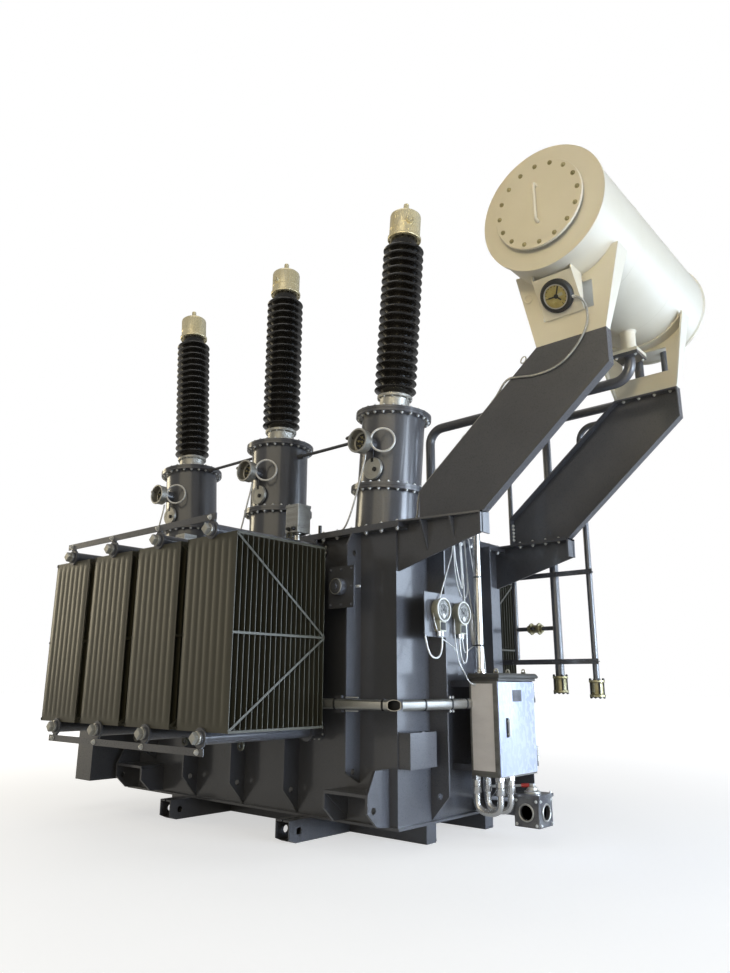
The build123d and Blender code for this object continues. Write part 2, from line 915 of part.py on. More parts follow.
manhole_face_y = -conservator_half - manhole_neck_length
with BuildPart() as manhole_cover:
    with BuildSketch(long_plane(manhole_face_y)):
        with Locations((conservator_x, conservator_z)):
            Circle(manhole_cover_diameter / 2)
    extrude(amount=manhole_cover_thickness)
    with BuildSketch(side_plane(conservator_x)):
        with Locations((manhole_face_y - manhole_cover_thickness - manhole_bar_stand / 2, conservator_z)):
            Rectangle(manhole_bar_stand, manhole_bar_height)
            with Locations((manhole_bar_width / 2, 0)):
                Rectangle(
                    manhole_bar_stand,
                    manhole_bar_height - 2 * manhole_bar_width,
                    mode=Mode.SUBTRACT,
                )
    extrude(amount=manhole_bar_width / 2, both=True)
write_piece(manhole_cover, "manhole_cover")

# Supports: cantilever arms on the end wall, inclined channels on them and cradles on top
support_foot_z = cover_top_z
support_top_z = support_foot_z + support_top_height


def support_web_y(side):
    return side * (tank_width / 2 - support_front_inset)


def support_outline():
    return [
        (end_wall_x + support_foot_start, support_foot_z),
        (end_wall_x + support_foot_end, support_foot_z),
        (end_wall_x + support_neck_end, support_foot_z + support_heel_height),
        (end_wall_x + support_neck_end, support_top_z),
        (end_wall_x + support_neck_start, support_top_z),
        (end_wall_x + support_foot_start, support_foot_z + support_shoulder_height),
    ]


def conservator_support(side):
    with BuildPart() as channel:
        with BuildSketch(long_plane(support_web_y(side))):
            with BuildLine():
                Polyline(*support_outline(), close=True)
            make_face()
        extrude(amount=side * support_depth)
        with BuildSketch(long_plane(support_web_y(side) - side * support_plate)):
            with BuildLine():
                Polyline(*support_outline(), close=True)
            make_face()
            offset(amount=-support_plate, mode=Mode.REPLACE)
        extrude(amount=side * (support_depth - support_plate), mode=Mode.SUBTRACT)
    return channel.part


def support_arm(side):
    web_y = support_web_y(side)
    notch_x = end_wall_x + flange_overhang + arm_clearance
    tip_x = end_wall_x + support_foot_end
    with BuildPart() as arm:
        with BuildSketch(long_plane(web_y)):
            with BuildLine():
                Polyline(
                    (end_wall_x, base_z + arm_root_height),
                    (tip_x, base_z + arm_tip_height),
                    (tip_x, support_foot_z),
                    (notch_x, support_foot_z),
                    (notch_x, wall_top_z - arm_clearance),
                    (end_wall_x, wall_top_z - arm_clearance),
                    close=True,
                )
            make_face()
        extrude(amount=side * arm_plate)
        with BuildSketch(Plane.XY.offset(support_foot_z - arm_plate)):
            with Locations(((notch_x + tip_x) / 2, web_y + side * (arm_shelf_outer - arm_shelf_inner) / 2)):
                Rectangle(tip_x - notch_x, arm_shelf_outer + arm_shelf_inner)
        extrude(amount=arm_plate)
        for gusset_x in ARM_GUSSETS:
            with BuildSketch(side_plane(end_wall_x + gusset_x)):
                with BuildLine():
                    Polyline(
                        (web_y, support_foot_z - arm_plate),
                        (web_y + side * arm_shelf_outer, support_foot_z - arm_plate),
                        (web_y, support_foot_z - arm_plate - arm_gusset_drop),
                        close=True,
                    )
                make_face()
            extrude(amount=arm_plate)
        with BuildSketch(side_plane(tip_x - arm_plate)):
            with Locations((web_y + side * (arm_shelf_outer - arm_shelf_inner) / 2, (base_z + arm_tip_height + support_foot_z) / 2)):
                Rectangle(arm_shelf_outer + arm_shelf_inner, support_foot_z - base_z - arm_tip_height)
        extrude(amount=arm_plate)
    return arm.part


def saddle_outline(base_x):
    half_base = saddle_base_width / 2
    half_top = saddle_top_width / 2
    horn_z = support_top_z + saddle_horn_height
    return [
        (base_x - half_base, support_top_z),
        (base_x + half_base, support_top_z),
        (base_x + half_top, horn_z),
        (base_x - half_top, horn_z),
    ]


def saddle(side):
    """Cradle: a web with a window, tapered edge plates, a foot and a strip under the shell."""
    web_y = support_web_y(side)
    base_x = end_wall_x + (support_neck_start + support_neck_end) / 2
    fit_radius = conservator_radius + saddle_fit
    corners = saddle_outline(base_x)
    with BuildPart() as cradle:
        with BuildSketch(long_plane(web_y)):
            with BuildLine():
                Polyline(*corners, close=True)
            make_face()
            with Locations((base_x, support_top_z + saddle_window_rise + saddle_window_height / 2)):
                Rectangle(saddle_window_width, saddle_window_height, mode=Mode.SUBTRACT)
        extrude(amount=side * saddle_plate)
        with BuildSketch(long_plane(web_y)):
            with BuildLine():
                Polyline(*corners, close=True)
            make_face()
            with Locations((conservator_x, conservator_z)):
                Circle(fit_radius + saddle_plate, mode=Mode.INTERSECT)
        extrude(amount=side * saddle_depth)
        with BuildSketch(Plane.XY.offset(support_top_z)):
            with Locations((base_x, web_y - side * support_depth / 2)):
                Rectangle(saddle_base_width, support_depth)
        extrude(amount=saddle_plate)
        for foot, horn, hand in ((corners[0], corners[3], 1), (corners[1], corners[2], -1)):
            rise = Vector(horn[0] - foot[0], 0, horn[1] - foot[1])
            inward = Vector(0, -side, 0)
            edge_plane = Plane(origin=(foot[0], web_y, foot[1]), x_dir=inward, z_dir=inward.cross(rise))
            with BuildSketch(edge_plane):
                with BuildLine():
                    Polyline(
                        (0, 0),
                        (saddle_foot_depth, 0),
                        (saddle_horn_depth, rise.length),
                        (0, rise.length),
                        close=True,
                    )
                make_face()
            extrude(amount=-side * hand * saddle_plate)
        split(bisect_by=Plane.XY.offset(support_top_z), keep=Keep.TOP)
        with BuildSketch(Plane.XZ):
            with Locations((conservator_x, conservator_z)):
                Circle(fit_radius)
        extrude(amount=shell_half, both=True, mode=Mode.SUBTRACT)
    return cradle.part


write_piece(joined([conservator_support(side) for side in SIDES.values()]), "conservator_supports")
write_piece(joined([support_arm(side) for side in SIDES.values()]), "support_arms")
write_piece(joined([saddle(side) for side in SIDES.values()]), "conservator_saddles")

# Oil pipe: up from the cover, along through the relay and up into the conservator's neck
neck_end_z = shell_bottom_z - neck_drop
relay_end = relay_start + relay_length
pipe_z = base_z + oil_pipe_height
up = (0, 0, 1)
along = (1, 0, 0)
pipe_end = (end_wall_x + oil_pipe_end, oil_pipe_y, neck_end_z)
lower_run = tube(
    [
        (end_wall_x + oil_pipe_start, oil_pipe_y, cover_top_z),
        (end_wall_x + oil_pipe_start, oil_pipe_y, pipe_z),
        (end_wall_x + relay_start, oil_pipe_y, pipe_z),
    ],
    oil_pipe_diameter,
    oil_pipe_bend,
)
upper_run = tube(
    [
        (end_wall_x + relay_end, oil_pipe_y, pipe_z),
        (end_wall_x + oil_pipe_end, oil_pipe_y, pipe_z),
        pipe_end,
    ],
    oil_pipe_diameter,
    oil_pipe_bend,
)
top_flange = block(
    (pipe_end[0] - oil_flange_size / 2, oil_pipe_y - oil_flange_size / 2, neck_end_z - 2 * oil_flange_thickness),
    (pipe_end[0] + oil_flange_size / 2, oil_pipe_y + oil_flange_size / 2, neck_end_z),
)
foot_flange = disc((end_wall_x + oil_pipe_start, oil_pipe_y, cover_top_z), up, oil_flange_size, oil_flange_thickness)
write_piece(joined([lower_run, foot_flange, upper_run, top_flange]), "oil_pipe")

relay_mid = end_wall_x + relay_start + relay_length / 2
relay_body = block(
    (relay_mid - relay_width / 2, oil_pipe_y - relay_width / 2, pipe_z - relay_height / 2),
    (relay_mid + relay_width / 2, oil_pipe_y + relay_width / 2, pipe_z + relay_height / 2),
)
relay_bar = disc((end_wall_x + relay_start, oil_pipe_y, pipe_z), along, oil_pipe_diameter, relay_length)
relay_flanges = [
    disc((end_wall_x + start, oil_pipe_y, pipe_z), along, relay_flange_diameter, relay_flange_thickness)
    for start in (relay_start, relay_end - relay_flange_thickness)
]
write_piece(joined([relay_body, relay_bar, *relay_flanges]), "gas_relay")

# Drop pipes behind the rear support: two from the conservator, one from the oil pipe
shell_trim = disc((conservator_x, -conservator_half, conservator_z), (0, 1, 0),
                  2 * (conservator_radius + saddle_fit), 2 * conservator_half)
drop_runs = [
    tube(
        [
            station(DROP_X[place], drop_y, DROP_FEET[place]),
            station(DROP_X[place], drop_y, top),
            station(reach, drop_y, top),
            station(reach, drop_y, conservator_height - conservator_radius / 2),
        ],
        DROP_DIAMETERS[place],
        drop_bend,
    )
    for place, top, reach in ((0, drop_1_top, drop_1_reach), (1, drop_2_top, drop_2_reach))
]
vent_run = tube(
    [
        station(DROP_X[2], drop_y, DROP_FEET[2]),
        station(DROP_X[2], drop_y, drop_3_elbow),
        station(DROP_X[2], oil_pipe_from_front + oil_pipe_diameter / 2 + saddle_fit, drop_3_elbow),
    ],
    DROP_DIAMETERS[2],
    drop_bend,
)
cross_start = DROP_X[2] + DROP_DIAMETERS[2] / 2
cross_end = DROP_X[0] - DROP_DIAMETERS[0] / 2
cross_mid = (cross_start + cross_end) / 2
stubs = [
    disc(station(x, drop_y, cross_height), (hand, 0, 0), cross_diameter,
         abs(cross_mid - hand * cross_valve_length / 2 - x))
    for x, hand in ((DROP_X[2], 1), (DROP_X[0], -1))
]
drop_pipes = joined([*drop_runs, vent_run, *stubs], [shell_trim])
write_piece(drop_pipes, "drop_pipes")

cross_valve = disc(station(cross_mid - cross_valve_length / 2, drop_y, cross_height), along,
                   cross_valve_diameter, cross_valve_length)
foot_valves = []
for place in (0, 1):
    x, foot = DROP_X[place], DROP_FEET[place]
    foot_valves.append(disc(station(x, drop_y, foot - foot_valve_height), up, foot_valve_body_diameter, foot_valve_height))
    for flange_z in (foot - foot_valve_height, foot - foot_valve_flange):
        foot_valves.append(disc(station(x, drop_y, flange_z), up, foot_valve_diameter, foot_valve_flange))
write_piece(joined([cross_valve, *foot_valves]), "pipe_valves")

tie_start_x = tank_x + (rib_count - 1) / 2 * rib_pitch + rib_thickness / 2
tie_y = front_wall_y + drop_y - max(DROP_DIAMETERS) / 2
ties = [
    block(
        (tie_start_x, tie_y - pipe_tie_thickness, base_z + tie - pipe_tie_height / 2),
        (end_wall_x + pipe_tie_end, tie_y, base_z + tie + pipe_tie_height / 2),
    )
    for tie in PIPE_TIES
]
write_piece(joined(ties), "pipe_ties")

# Oil level gauge: a dial on an inclined plate with triangular lips under the shell
gauge_centre = Vector(*station(gauge_x, gauge_y, gauge_z))
facing = Vector(0, -cos(radians(gauge_lean)), -sin(radians(gauge_lean)))
plate_rise = Vector(0, -sin(radians(gauge_lean)), cos(radians(gauge_lean))) * (gauge_plate_size / 2)
plate_top = gauge_centre + plate_rise
plate_foot = gauge_centre - plate_rise
with BuildPart() as gauge_bracket:
    with BuildSketch(Plane(origin=gauge_centre, x_dir=(1, 0, 0), z_dir=facing)):
        Rectangle(gauge_plate_size, gauge_plate_size)
    extrude(amount=-gauge_plate)
    for hand in (-1, 1):
        with BuildSketch(side_plane(gauge_centre.X + hand * gauge_plate_size / 2)):
            with BuildLine():
                Polyline(
                    (plate_top.Y, plate_top.Z),
                    (plate_foot.Y, plate_foot.Z),
                    (plate_foot.Y, conservator_z),
                    (plate_top.Y, conservator_z),
                    close=True,
                )
            make_face()
        extrude(amount=-hand * gauge_plate)
    neck_foot = (gauge_centre.X, gauge_centre.Y + gauge_neck_back, gauge_centre.Z)
    add(disc(neck_foot, up, gauge_neck_diameter, conservator_radius))
    add(shell_trim, mode=Mode.SUBTRACT)
    split(bisect_by=Plane.XY.offset(conservator_z - conservator_radius / 2), keep=Keep.BOTTOM)
write_piece(gauge_bracket, "gauge_bracket")

write_piece(joined([disc(gauge_centre, facing, gauge_diameter, gauge_depth)]), "oil_level_gauge")

# Conduit from the gauge, across the web of the front support, down its edge and onto the cover
rail_slope = (support_top_height - support_shoulder_height) / (support_neck_start - support_foot_start)


def rail_height(x):
    """Height of the support's upper edge above the tank's foot."""
    return cover_top_z - base_z + support_shoulder_height + (x - support_foot_start) * rail_slope


conduit_floor = cover_top_z - base_z + conduit_diameter / 2
conduit_route = [
    (1481, -57, 3284),
    (1550, -50, 3262),
    (1532, conduit_web_y, 3120),
    (1440, conduit_web_y, 2980),
    (1310, conduit_web_y, 2885),
    (1150, conduit_web_y, 2868),
    (1030, conduit_web_y, 2890),
    (930, conduit_web_y, rail_height(930) + 2 * conduit_rise),
    (830, conduit_rail_y, rail_height(830) + conduit_rise),
    (260, conduit_rail_y, rail_height(260) + conduit_rise),
    (155, conduit_rail_y, 2240),
    (150, conduit_rail_y, conduit_floor),
    (-120, conduit_rail_y, conduit_floor),
]
write_piece(joined([tube([station(*point) for point in conduit_route], conduit_diameter, conduit_bend)]), "gauge_conduit")

# Control cabinet: an open-fronted shell, a hinged door and a canopy roof
cabinet_back_x = end_wall_x + cabinet_standoff
cabinet_front_x = cabinet_back_x + cabinet_depth
cabinet_left_y = front_wall_y + cabinet_from_front
cabinet_right_y = cabinet_left_y + cabinet_width
cabinet_y = (cabinet_left_y + cabinet_right_y) / 2
cabinet_bottom_z = base_z + cabinet_bottom
cabinet_top_z = cabinet_bottom_z + cabinet_height
hinge_x = cabinet_front_x + door_gap + door_thickness / 2
hinge_y = cabinet_right_y + hinge_side_gap
HINGES = (cabinet_bottom_z + hinge_inset, cabinet_top_z - hinge_inset)

with BuildPart() as cabinet_shell:
    with BuildSketch(side_plane(cabinet_back_x)):
        with Locations((cabinet_y, (cabinet_bottom_z + cabinet_top_z) / 2)):
            Rectangle(cabinet_width, cabinet_height)
    extrude(amount=cabinet_depth)
    with BuildSketch(side_plane(cabinet_back_x + cabinet_wall)):
        with Locations((cabinet_y, (cabinet_bottom_z + cabinet_top_z) / 2)):
            Rectangle(cabinet_width - 2 * cabinet_wall, cabinet_height - 2 * cabinet_wall)
    extrude(amount=cabinet_depth, mode=Mode.SUBTRACT)
write_piece(cabinet_shell, "cabinet_shell")

with BuildPart() as hinge_pins:
    for hinge_z in HINGES:
        with BuildSketch(Plane.XY.offset(hinge_z - hinge_knuckle_length)):
            with Locations((hinge_x, hinge_y)):
                Circle(hinge_pin_diameter / 2)
        extrude(amount=2 * hinge_knuckle_length)
        with BuildSketch(Plane.XY.offset(hinge_z - hinge_knuckle_length)):
            with BuildLine():
                Polyline(
                    (cabinet_front_x - hinge_leaf, cabinet_right_y),
                    (cabinet_front_x, cabinet_right_y),
                    (cabinet_front_x, hinge_y - hinge_pin_diameter / 2),
                    (hinge_x + hinge_pin_diameter / 2, hinge_y - hinge_pin_diameter / 2),
                    (hinge_x + hinge_pin_diameter / 2, hinge_y + hinge_pin_diameter / 2),
                    (cabinet_front_x - hinge_leaf, hinge_y + hinge_pin_diameter / 2),
                    close=True,
                )
            make_face()
        extrude(amount=hinge_knuckle_length / 2)
write_piece(hinge_pins, "hinge_pins")

door_bottom_z = cabinet_bottom_z + door_reveal
door_top_z = cabinet_top_z - roof_lip_height - door_reveal
door_inner_x = cabinet_front_x + door_gap
with BuildPart() as cabinet_door:
    with BuildSketch(side_plane(door_inner_x)):
        with Locations((cabinet_y, (door_bottom_z + door_top_z) / 2)):
            Rectangle(cabinet_width, door_top_z - door_bottom_z)
    extrude(amount=door_thickness)
    for hinge_z in HINGES:
        with BuildSketch(Plane.XY.offset(hinge_z)):
            with Locations((hinge_x, hinge_y - hinge_side_gap)):
                Rectangle(door_thickness, 2 * hinge_side_gap)
            with Locations((hinge_x, hinge_y)):
                Circle(hinge_knuckle_diameter / 2)
                Circle(hinge_pin_diameter / 2 + hinge_fit, mode=Mode.SUBTRACT)
        extrude(amount=hinge_knuckle_length)
    with BuildSketch(long_plane(cabinet_left_y + handle_inset)):
        with Locations((door_inner_x + door_thickness + handle_stand / 2, (door_bottom_z + door_top_z) / 2)):
            Rectangle(handle_stand, handle_height)
            with Locations((-handle_width / 2, 0)):
                Rectangle(handle_stand, handle_height - 2 * handle_width, mode=Mode.SUBTRACT)
    extrude(amount=handle_width / 2, both=True)
write_piece(cabinet_door, "cabinet_door")

with BuildPart() as cabinet_roof:
    roof_front_x = door_inner_x + door_thickness + roof_overhang
    roof_depth = roof_front_x - cabinet_back_x
    roof_width = cabinet_width + 2 * roof_overhang
    with BuildSketch(Plane.XY.offset(cabinet_top_z)):
        with Locations(((roof_front_x + cabinet_back_x) / 2, cabinet_y)):
            Rectangle(roof_depth, roof_width)
    extrude(amount=roof_rise)
    with BuildSketch(side_plane(roof_front_x - roof_thickness)):
        with Locations((cabinet_y, cabinet_top_z - roof_lip_height / 2)):
            Rectangle(roof_width, roof_lip_height)
    extrude(amount=roof_thickness)
write_piece(cabinet_roof, "cabinet_roof")

with BuildPart() as cabinet_brackets:
    for bracket_y in (cabinet_left_y + bracket_size, cabinet_right_y - bracket_size):
        for bracket_z in (cabinet_bottom_z + bracket_size, cabinet_top_z - bracket_size):
            with BuildSketch(side_plane(end_wall_x)):
                with Locations((bracket_y, bracket_z)):
                    Rectangle(bracket_size, bracket_size)
            extrude(amount=cabinet_standoff)
    add(
        block(
            (end_wall_x, cabinet_right_y, base_z + cabinet_side_plate_bottom),
            (end_wall_x + cabinet_side_plate_depth, cabinet_right_y + cabinet_side_plate, cabinet_top_z),
        )
    )
write_piece(cabinet_brackets, "cabinet_brackets")

# Hoses that loop under the cabinet and the riser from its roof to the cover
hoses = [
    tube(
        [
            station(HOSE_X[1], y, cabinet_bottom),
            station(HOSE_X[1], y, hose_bottom),
            station(HOSE_X[0], y, hose_bottom),
            station(HOSE_X[0], y, cabinet_bottom),
        ],
        hose_diameter,
        hose_bend,
    )
    for y in HOSE_Y
]
write_piece(joined(hoses), "cabinet_hoses")
riser = tube(
    [
        (end_wall_x + riser_x, front_wall_y + riser_y, cabinet_top_z + roof_rise),
        station(riser_x, riser_y, riser_top),
        station(riser_end, riser_y, riser_top),
        (end_wall_x + riser_end, front_wall_y + riser_y, cover_top_z),
    ],
    riser_diameter,
    riser_bend,
)
write_piece(joined([riser]), "riser_conduit")

# Thermometers on their plate
therm_face = rib_depth + therm_plate_thickness
therm_plate = block(
    station(rib_depth, THERM_PLATE_Y[0], THERM_PLATE_Z[0]),
    station(therm_face, THERM_PLATE_Y[1], THERM_PLATE_Z[1]),
)
write_piece(joined([therm_plate]), "thermometer_plate")
dials = []
for y, z in THERM_PLACES:
    bezel_x = therm_face + therm_depth - therm_bezel_depth
    dials.append(disc(station(therm_face, y, z), along, therm_diameter, therm_depth))
    dials.append(disc(station(bezel_x, y, z), along, therm_bezel_diameter, therm_bezel_depth))
    gland_x = therm_face + therm_gland_diameter / 2
    dials.append(disc(station(gland_x, y, z - therm_gland_drop), up, therm_gland_diameter, therm_gland_drop))
write_piece(joined(dials), "thermometers")


# Flat-oval cable ducts, open at the ends
def duct(plane, length):
    with BuildPart() as run:
        with BuildSketch(plane):
            SlotOverall(duct_height, duct_depth, rotation=90)
            SlotOverall(duct_height - 2 * duct_wall, duct_depth - 2 * duct_wall, rotation=90, mode=Mode.SUBTRACT)
        extrude(amount=length)
    return run.part


duct_middle = rib_depth + duct_depth / 2
front_duct_start = station(DUCT_FRONT_X[0], -duct_middle, duct_z)
end_duct_start = station(duct_middle, DUCT_END_Y[0], duct_z)
front_duct = duct(Plane(origin=front_duct_start, x_dir=(0, 1, 0), z_dir=along), DUCT_FRONT_X[1] - DUCT_FRONT_X[0])
end_duct = duct(Plane(origin=end_duct_start, x_dir=(-1, 0, 0), z_dir=(0, 1, 0)), DUCT_END_Y[1] - DUCT_END_Y[0])
write_piece(joined([front_duct, end_duct]), "cable_ducts")

# Nameplate bracket: a folded plate that stands off the end wall
name_face = block(
    station(name_depth - name_plate, NAME_Y[0], NAME_Z[0]),
    station(name_depth, NAME_Y[1], NAME_Z[1]),
)
name_cheeks = [
    block(station(0, y, NAME_Z[0]), station(name_depth, y + name_plate, NAME_Z[1]))
    for y in (NAME_Y[0], NAME_Y[1] - name_plate)
]
write_piece(joined([name_face, *name_cheeks]), "nameplate_bracket")

# Drain valve: a cast body with square flanges on a stub from the end wall
drain_mid = drain_stub_length + drain_body / 2
half_body = drain_body / 2
half_plate = drain_plate / 2
drain_stub = disc(station(0, drain_y, drain_z), along, drain_stub_diameter, drain_stub_length)
drain_casting = block(
    station(drain_stub_length, drain_y - half_body, drain_z - half_body),
    station(drain_stub_length + drain_body, drain_y + half_body, drain_z + half_body),
)
front_plate = block(
    station(drain_mid - half_plate, drain_y - half_body - drain_plate_thickness, drain_z - half_plate),
    station(drain_mid + half_plate, drain_y - half_body, drain_z + half_plate),
)
outer_x = drain_stub_length + drain_body
outer_plate = block(
    station(outer_x, drain_y - half_plate, drain_z - half_plate),
    station(outer_x + drain_plate_thickness, drain_y + half_plate, drain_z + half_plate),
)
stub_flange = disc(station(drain_stub_length - drain_plate_thickness, drain_y, drain_z), along,
                   drain_flange_diameter, drain_plate_thickness)
drain_bores = [
    disc(station(drain_mid, drain_y - half_body - drain_plate_thickness, drain_z), (0, 1, 0),
         drain_bore_diameter, drain_bore_depth),
    disc(station(outer_x + drain_plate_thickness, drain_y, drain_z), (-1, 0, 0),
         drain_bore_diameter, drain_bore_depth),
]
write_piece(joined([drain_stub, drain_casting, front_plate, outer_plate, stub_flange], drain_bores), "drain_valve")

# Junction boxes on posts on the upper headers
boxes = []
post_foot_z = upper_header_z + header_diameter / 4
box_foot_z = upper_header_z + header_diameter / 2 + junction_post_height
for place, reach, width, height in JUNCTIONS:
    x, y = radiator_x[place], front_wall_y - reach
    post = disc((x, y, post_foot_z), up, junction_post_diameter, box_foot_z - post_foot_z)
    shell = block((x - width / 2, y - width / 2, box_foot_z), (x + width / 2, y + width / 2, box_foot_z + height))
    header = disc((x, front_wall_y, upper_header_z), (0, -1, 0), header_diameter + 2 * turret_fit, header_end_reach)
    boxes.append(joined([post, shell], [header]).part)
write_piece(joined(boxes), "junction_boxes")

# Blanking flange on the near front rib and the box on the far end wall
blank_plate = block(
    station(blank_x - blank_width / 2, -rib_depth - blank_thickness, BLANK_Z[0]),
    station(blank_x + blank_width / 2, -rib_depth, BLANK_Z[1]),
)
blank_boss = disc(station(blank_x, -rib_depth - blank_thickness, sum(BLANK_Z) / 2), (0, -1, 0),
                  blank_boss_diameter, blank_boss_length)
write_piece(joined([blank_plate, blank_boss]), "blanking_flange")
far_box = block(
    station(-tank_length - far_box_depth, FAR_BOX_Y[0], FAR_BOX_Z[0]),
    station(-tank_length, FAR_BOX_Y[1], FAR_BOX_Z[1]),
)
write_piece(joined([far_box]), "far_end_box")
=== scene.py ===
import math

import bmesh
import bpy
from mathutils import Matrix, Vector


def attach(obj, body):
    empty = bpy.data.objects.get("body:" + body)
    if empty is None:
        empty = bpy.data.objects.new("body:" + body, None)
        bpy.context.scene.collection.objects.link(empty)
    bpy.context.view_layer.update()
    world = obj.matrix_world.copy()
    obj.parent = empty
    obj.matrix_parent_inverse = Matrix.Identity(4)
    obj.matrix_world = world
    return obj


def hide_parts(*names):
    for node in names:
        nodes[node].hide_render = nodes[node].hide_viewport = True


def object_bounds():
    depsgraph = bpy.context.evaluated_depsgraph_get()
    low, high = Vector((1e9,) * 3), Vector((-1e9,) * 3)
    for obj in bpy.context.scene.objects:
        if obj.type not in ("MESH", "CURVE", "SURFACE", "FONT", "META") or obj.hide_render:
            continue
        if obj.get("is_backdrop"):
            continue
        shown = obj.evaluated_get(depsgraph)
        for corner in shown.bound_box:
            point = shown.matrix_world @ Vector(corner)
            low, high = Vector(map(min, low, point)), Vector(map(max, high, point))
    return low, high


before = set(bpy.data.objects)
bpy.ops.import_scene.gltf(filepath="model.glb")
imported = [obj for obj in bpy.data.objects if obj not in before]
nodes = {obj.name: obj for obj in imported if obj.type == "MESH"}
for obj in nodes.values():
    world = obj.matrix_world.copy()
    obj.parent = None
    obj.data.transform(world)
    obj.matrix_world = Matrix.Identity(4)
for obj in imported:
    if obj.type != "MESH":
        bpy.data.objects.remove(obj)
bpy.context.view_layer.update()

# Lengths are in millimetres as far as the stage; Shape.mesh turns them into metres
MM = 0.001
UP = Vector((0, 0, 1))
OUT = Vector((0, -1, 0))
ACROSS = Vector((0, 1, 0))
NEAR = Vector((1, 0, 0))
BOTH = (-1, 1)

# Places that the pieces share with the solids
END_X = 752.0
FRONT_Y = -700.0
BASE_Z = 150.0
TANK_X = -785.5
COVER_Z = 2184.0
TURRET_Y = -436.0
TURRET_SPACING = 1237.0
TURRET_TILT = 4.64
PHASES = {"a": -1, "b": 0, "c": 1}
RADIATOR_X = [END_X - 733 - 607 * place for place in range(4)]
LOWER_HEADER = 740.0
UPPER_HEADER = 2067.0
HEADERS = (LOWER_HEADER, UPPER_HEADER)
BETWEEN_HEADERS = 1400.0


def station(x, y, z):
    """Point measured from the tank's lower front corner at the conservator end."""
    return Vector((END_X + x, FRONT_Y + y, BASE_Z + z))


def stations(*places):
    return [station(*place) for place in places]


def turret_axis(phase):
    lean = math.radians(TURRET_TILT * PHASES[phase])
    foot = Vector((TANK_X + PHASES[phase] * TURRET_SPACING, TURRET_Y, COVER_Z))
    return foot, Vector((math.sin(lean), 0, math.cos(lean)))


# Materials
EVEN = (0.3, 0.5, 0.72)
LATE = (0.3, 0.55, 0.75)
PLAIN = (1, 1, 1)
COAT_ROUGHNESS = 0.12
RELIEF_DEPTH = 0.002


def add_node(tree, kind, **values):
    """New shader node with constant values on its sockets; an underscore stands for a space."""
    node = tree.nodes.new(f"ShaderNode{kind}")
    for socket, value in values.items():
        node.inputs[socket.replace("_", " ")].default_value = value
    return node


def noise(tree, scale, detail, stretch):
    coords = add_node(tree, "TexCoord")
    mapping = add_node(tree, "Mapping", Scale=stretch)
    texture = add_node(tree, "TexNoise", Scale=scale, Detail=detail, Roughness=0.55)
    tree.links.new(coords.outputs["Object"], mapping.inputs["Vector"])
    tree.links.new(mapping.outputs["Vector"], texture.inputs["Vector"])
    return texture.outputs["Fac"]


def ramp(tree, source, places, colours):
    node = add_node(tree, "ValToRGB")
    elements = node.color_ramp.elements
    while len(elements) < len(places):
        elements.new(0.5)
    for element, place, colour in zip(elements, places, colours):
        element.position = place
        element.color = (*colour, 1)
    tree.links.new(source, node.inputs["Fac"])
    return node.outputs["Color"]


def dusted(tree, colour, dust, cover):
    """Colour with dust over it on upward faces."""
    geometry = add_node(tree, "NewGeometry")
    split = add_node(tree, "SeparateXYZ")
    settle = add_node(tree, "MapRange", From_Min=0.75, From_Max=1.0, To_Max=cover)
    mix = add_node(tree, "Mix")
    mix.data_type = "RGBA"
    mix.inputs["B"].default_value = (*dust, 1)
    tree.links.new(geometry.outputs["Normal"], split.inputs["Vector"])
    tree.links.new(split.outputs["Z"], settle.inputs["Value"])
    tree.links.new(settle.outputs["Result"], mix.inputs["Factor"])
    tree.links.new(colour, mix.inputs["A"])
    return mix.outputs["Result"]


def surface(name, colours, rough, grain, relief, places=EVEN, metallic=0.0, coat=0.0, blotch=2.2,
            stretch=PLAIN, dust=None):
    """Painted or metal surface: blotched colour, uneven gloss, fine relief, and dust where it is given."""
    material = bpy.data.materials.new(name)
    material.use_nodes = True
    tree = material.node_tree
    shader = tree.nodes["Principled BSDF"]
    colour = ramp(tree, noise(tree, blotch, 6.0, stretch), places, colours)
    if dust:
        colour = dusted(tree, colour, *dust)
    fine = noise(tree, grain, 3.0, stretch)
    gloss = add_node(tree, "MapRange", From_Min=0.3, From_Max=0.7, To_Min=rough[0], To_Max=rough[1])
    bumps = add_node(tree, "Bump", Strength=relief, Distance=RELIEF_DEPTH)
    tree.links.new(colour, shader.inputs["Base Color"])
    tree.links.new(fine, gloss.inputs["Value"])
    tree.links.new(gloss.outputs["Result"], shader.inputs["Roughness"])
    tree.links.new(fine, bumps.inputs["Height"])
    tree.links.new(bumps.outputs["Normal"], shader.inputs["Normal"])
    shader.inputs["Metallic"].default_value = metallic
    shader.inputs["Coat Weight"].default_value = coat
    shader.inputs["Coat Roughness"].default_value = COAT_ROUGHNESS
    return material


PAINT = surface(
    "dark_paint", [(0.062, 0.063, 0.070), (0.072, 0.073, 0.081), (0.085, 0.086, 0.095)],
    (0.24, 0.38), 240, 0.06, coat=0.70, dust=((0.17, 0.17, 0.17), 0.30),
)
# Radiator paint: the tank's paint made darker and olive, which is painted shade and painted warm reflected
# light on the fins
FIN_PAINT_PAINTED_SHADE = surface(
    "radiator_paint_painted_shade", [(0.040, 0.037, 0.022), (0.050, 0.046, 0.028), (0.062, 0.058, 0.037)],
    (0.36, 0.50), 200, 0.05, LATE, coat=0.10, stretch=(1, 1, 0.35), dust=((0.17, 0.17, 0.15), 0.35),
)
WHITE = surface(
    "white_paint", [(0.66, 0.615, 0.50), (0.70, 0.655, 0.545), (0.73, 0.69, 0.59)],
    (0.34, 0.52), 160, 0.05, coat=0.15, blotch=1.3, dust=((0.66, 0.64, 0.58), 0.4),
)
PORCELAIN = surface(
    "porcelain", [(0.0075, 0.006, 0.0045), (0.011, 0.009, 0.0065), (0.017, 0.013, 0.010)],
    (0.14, 0.32), 90, 0.03, LATE, coat=0.4, blotch=5.0, dust=((0.045, 0.042, 0.036), 0.4),
)
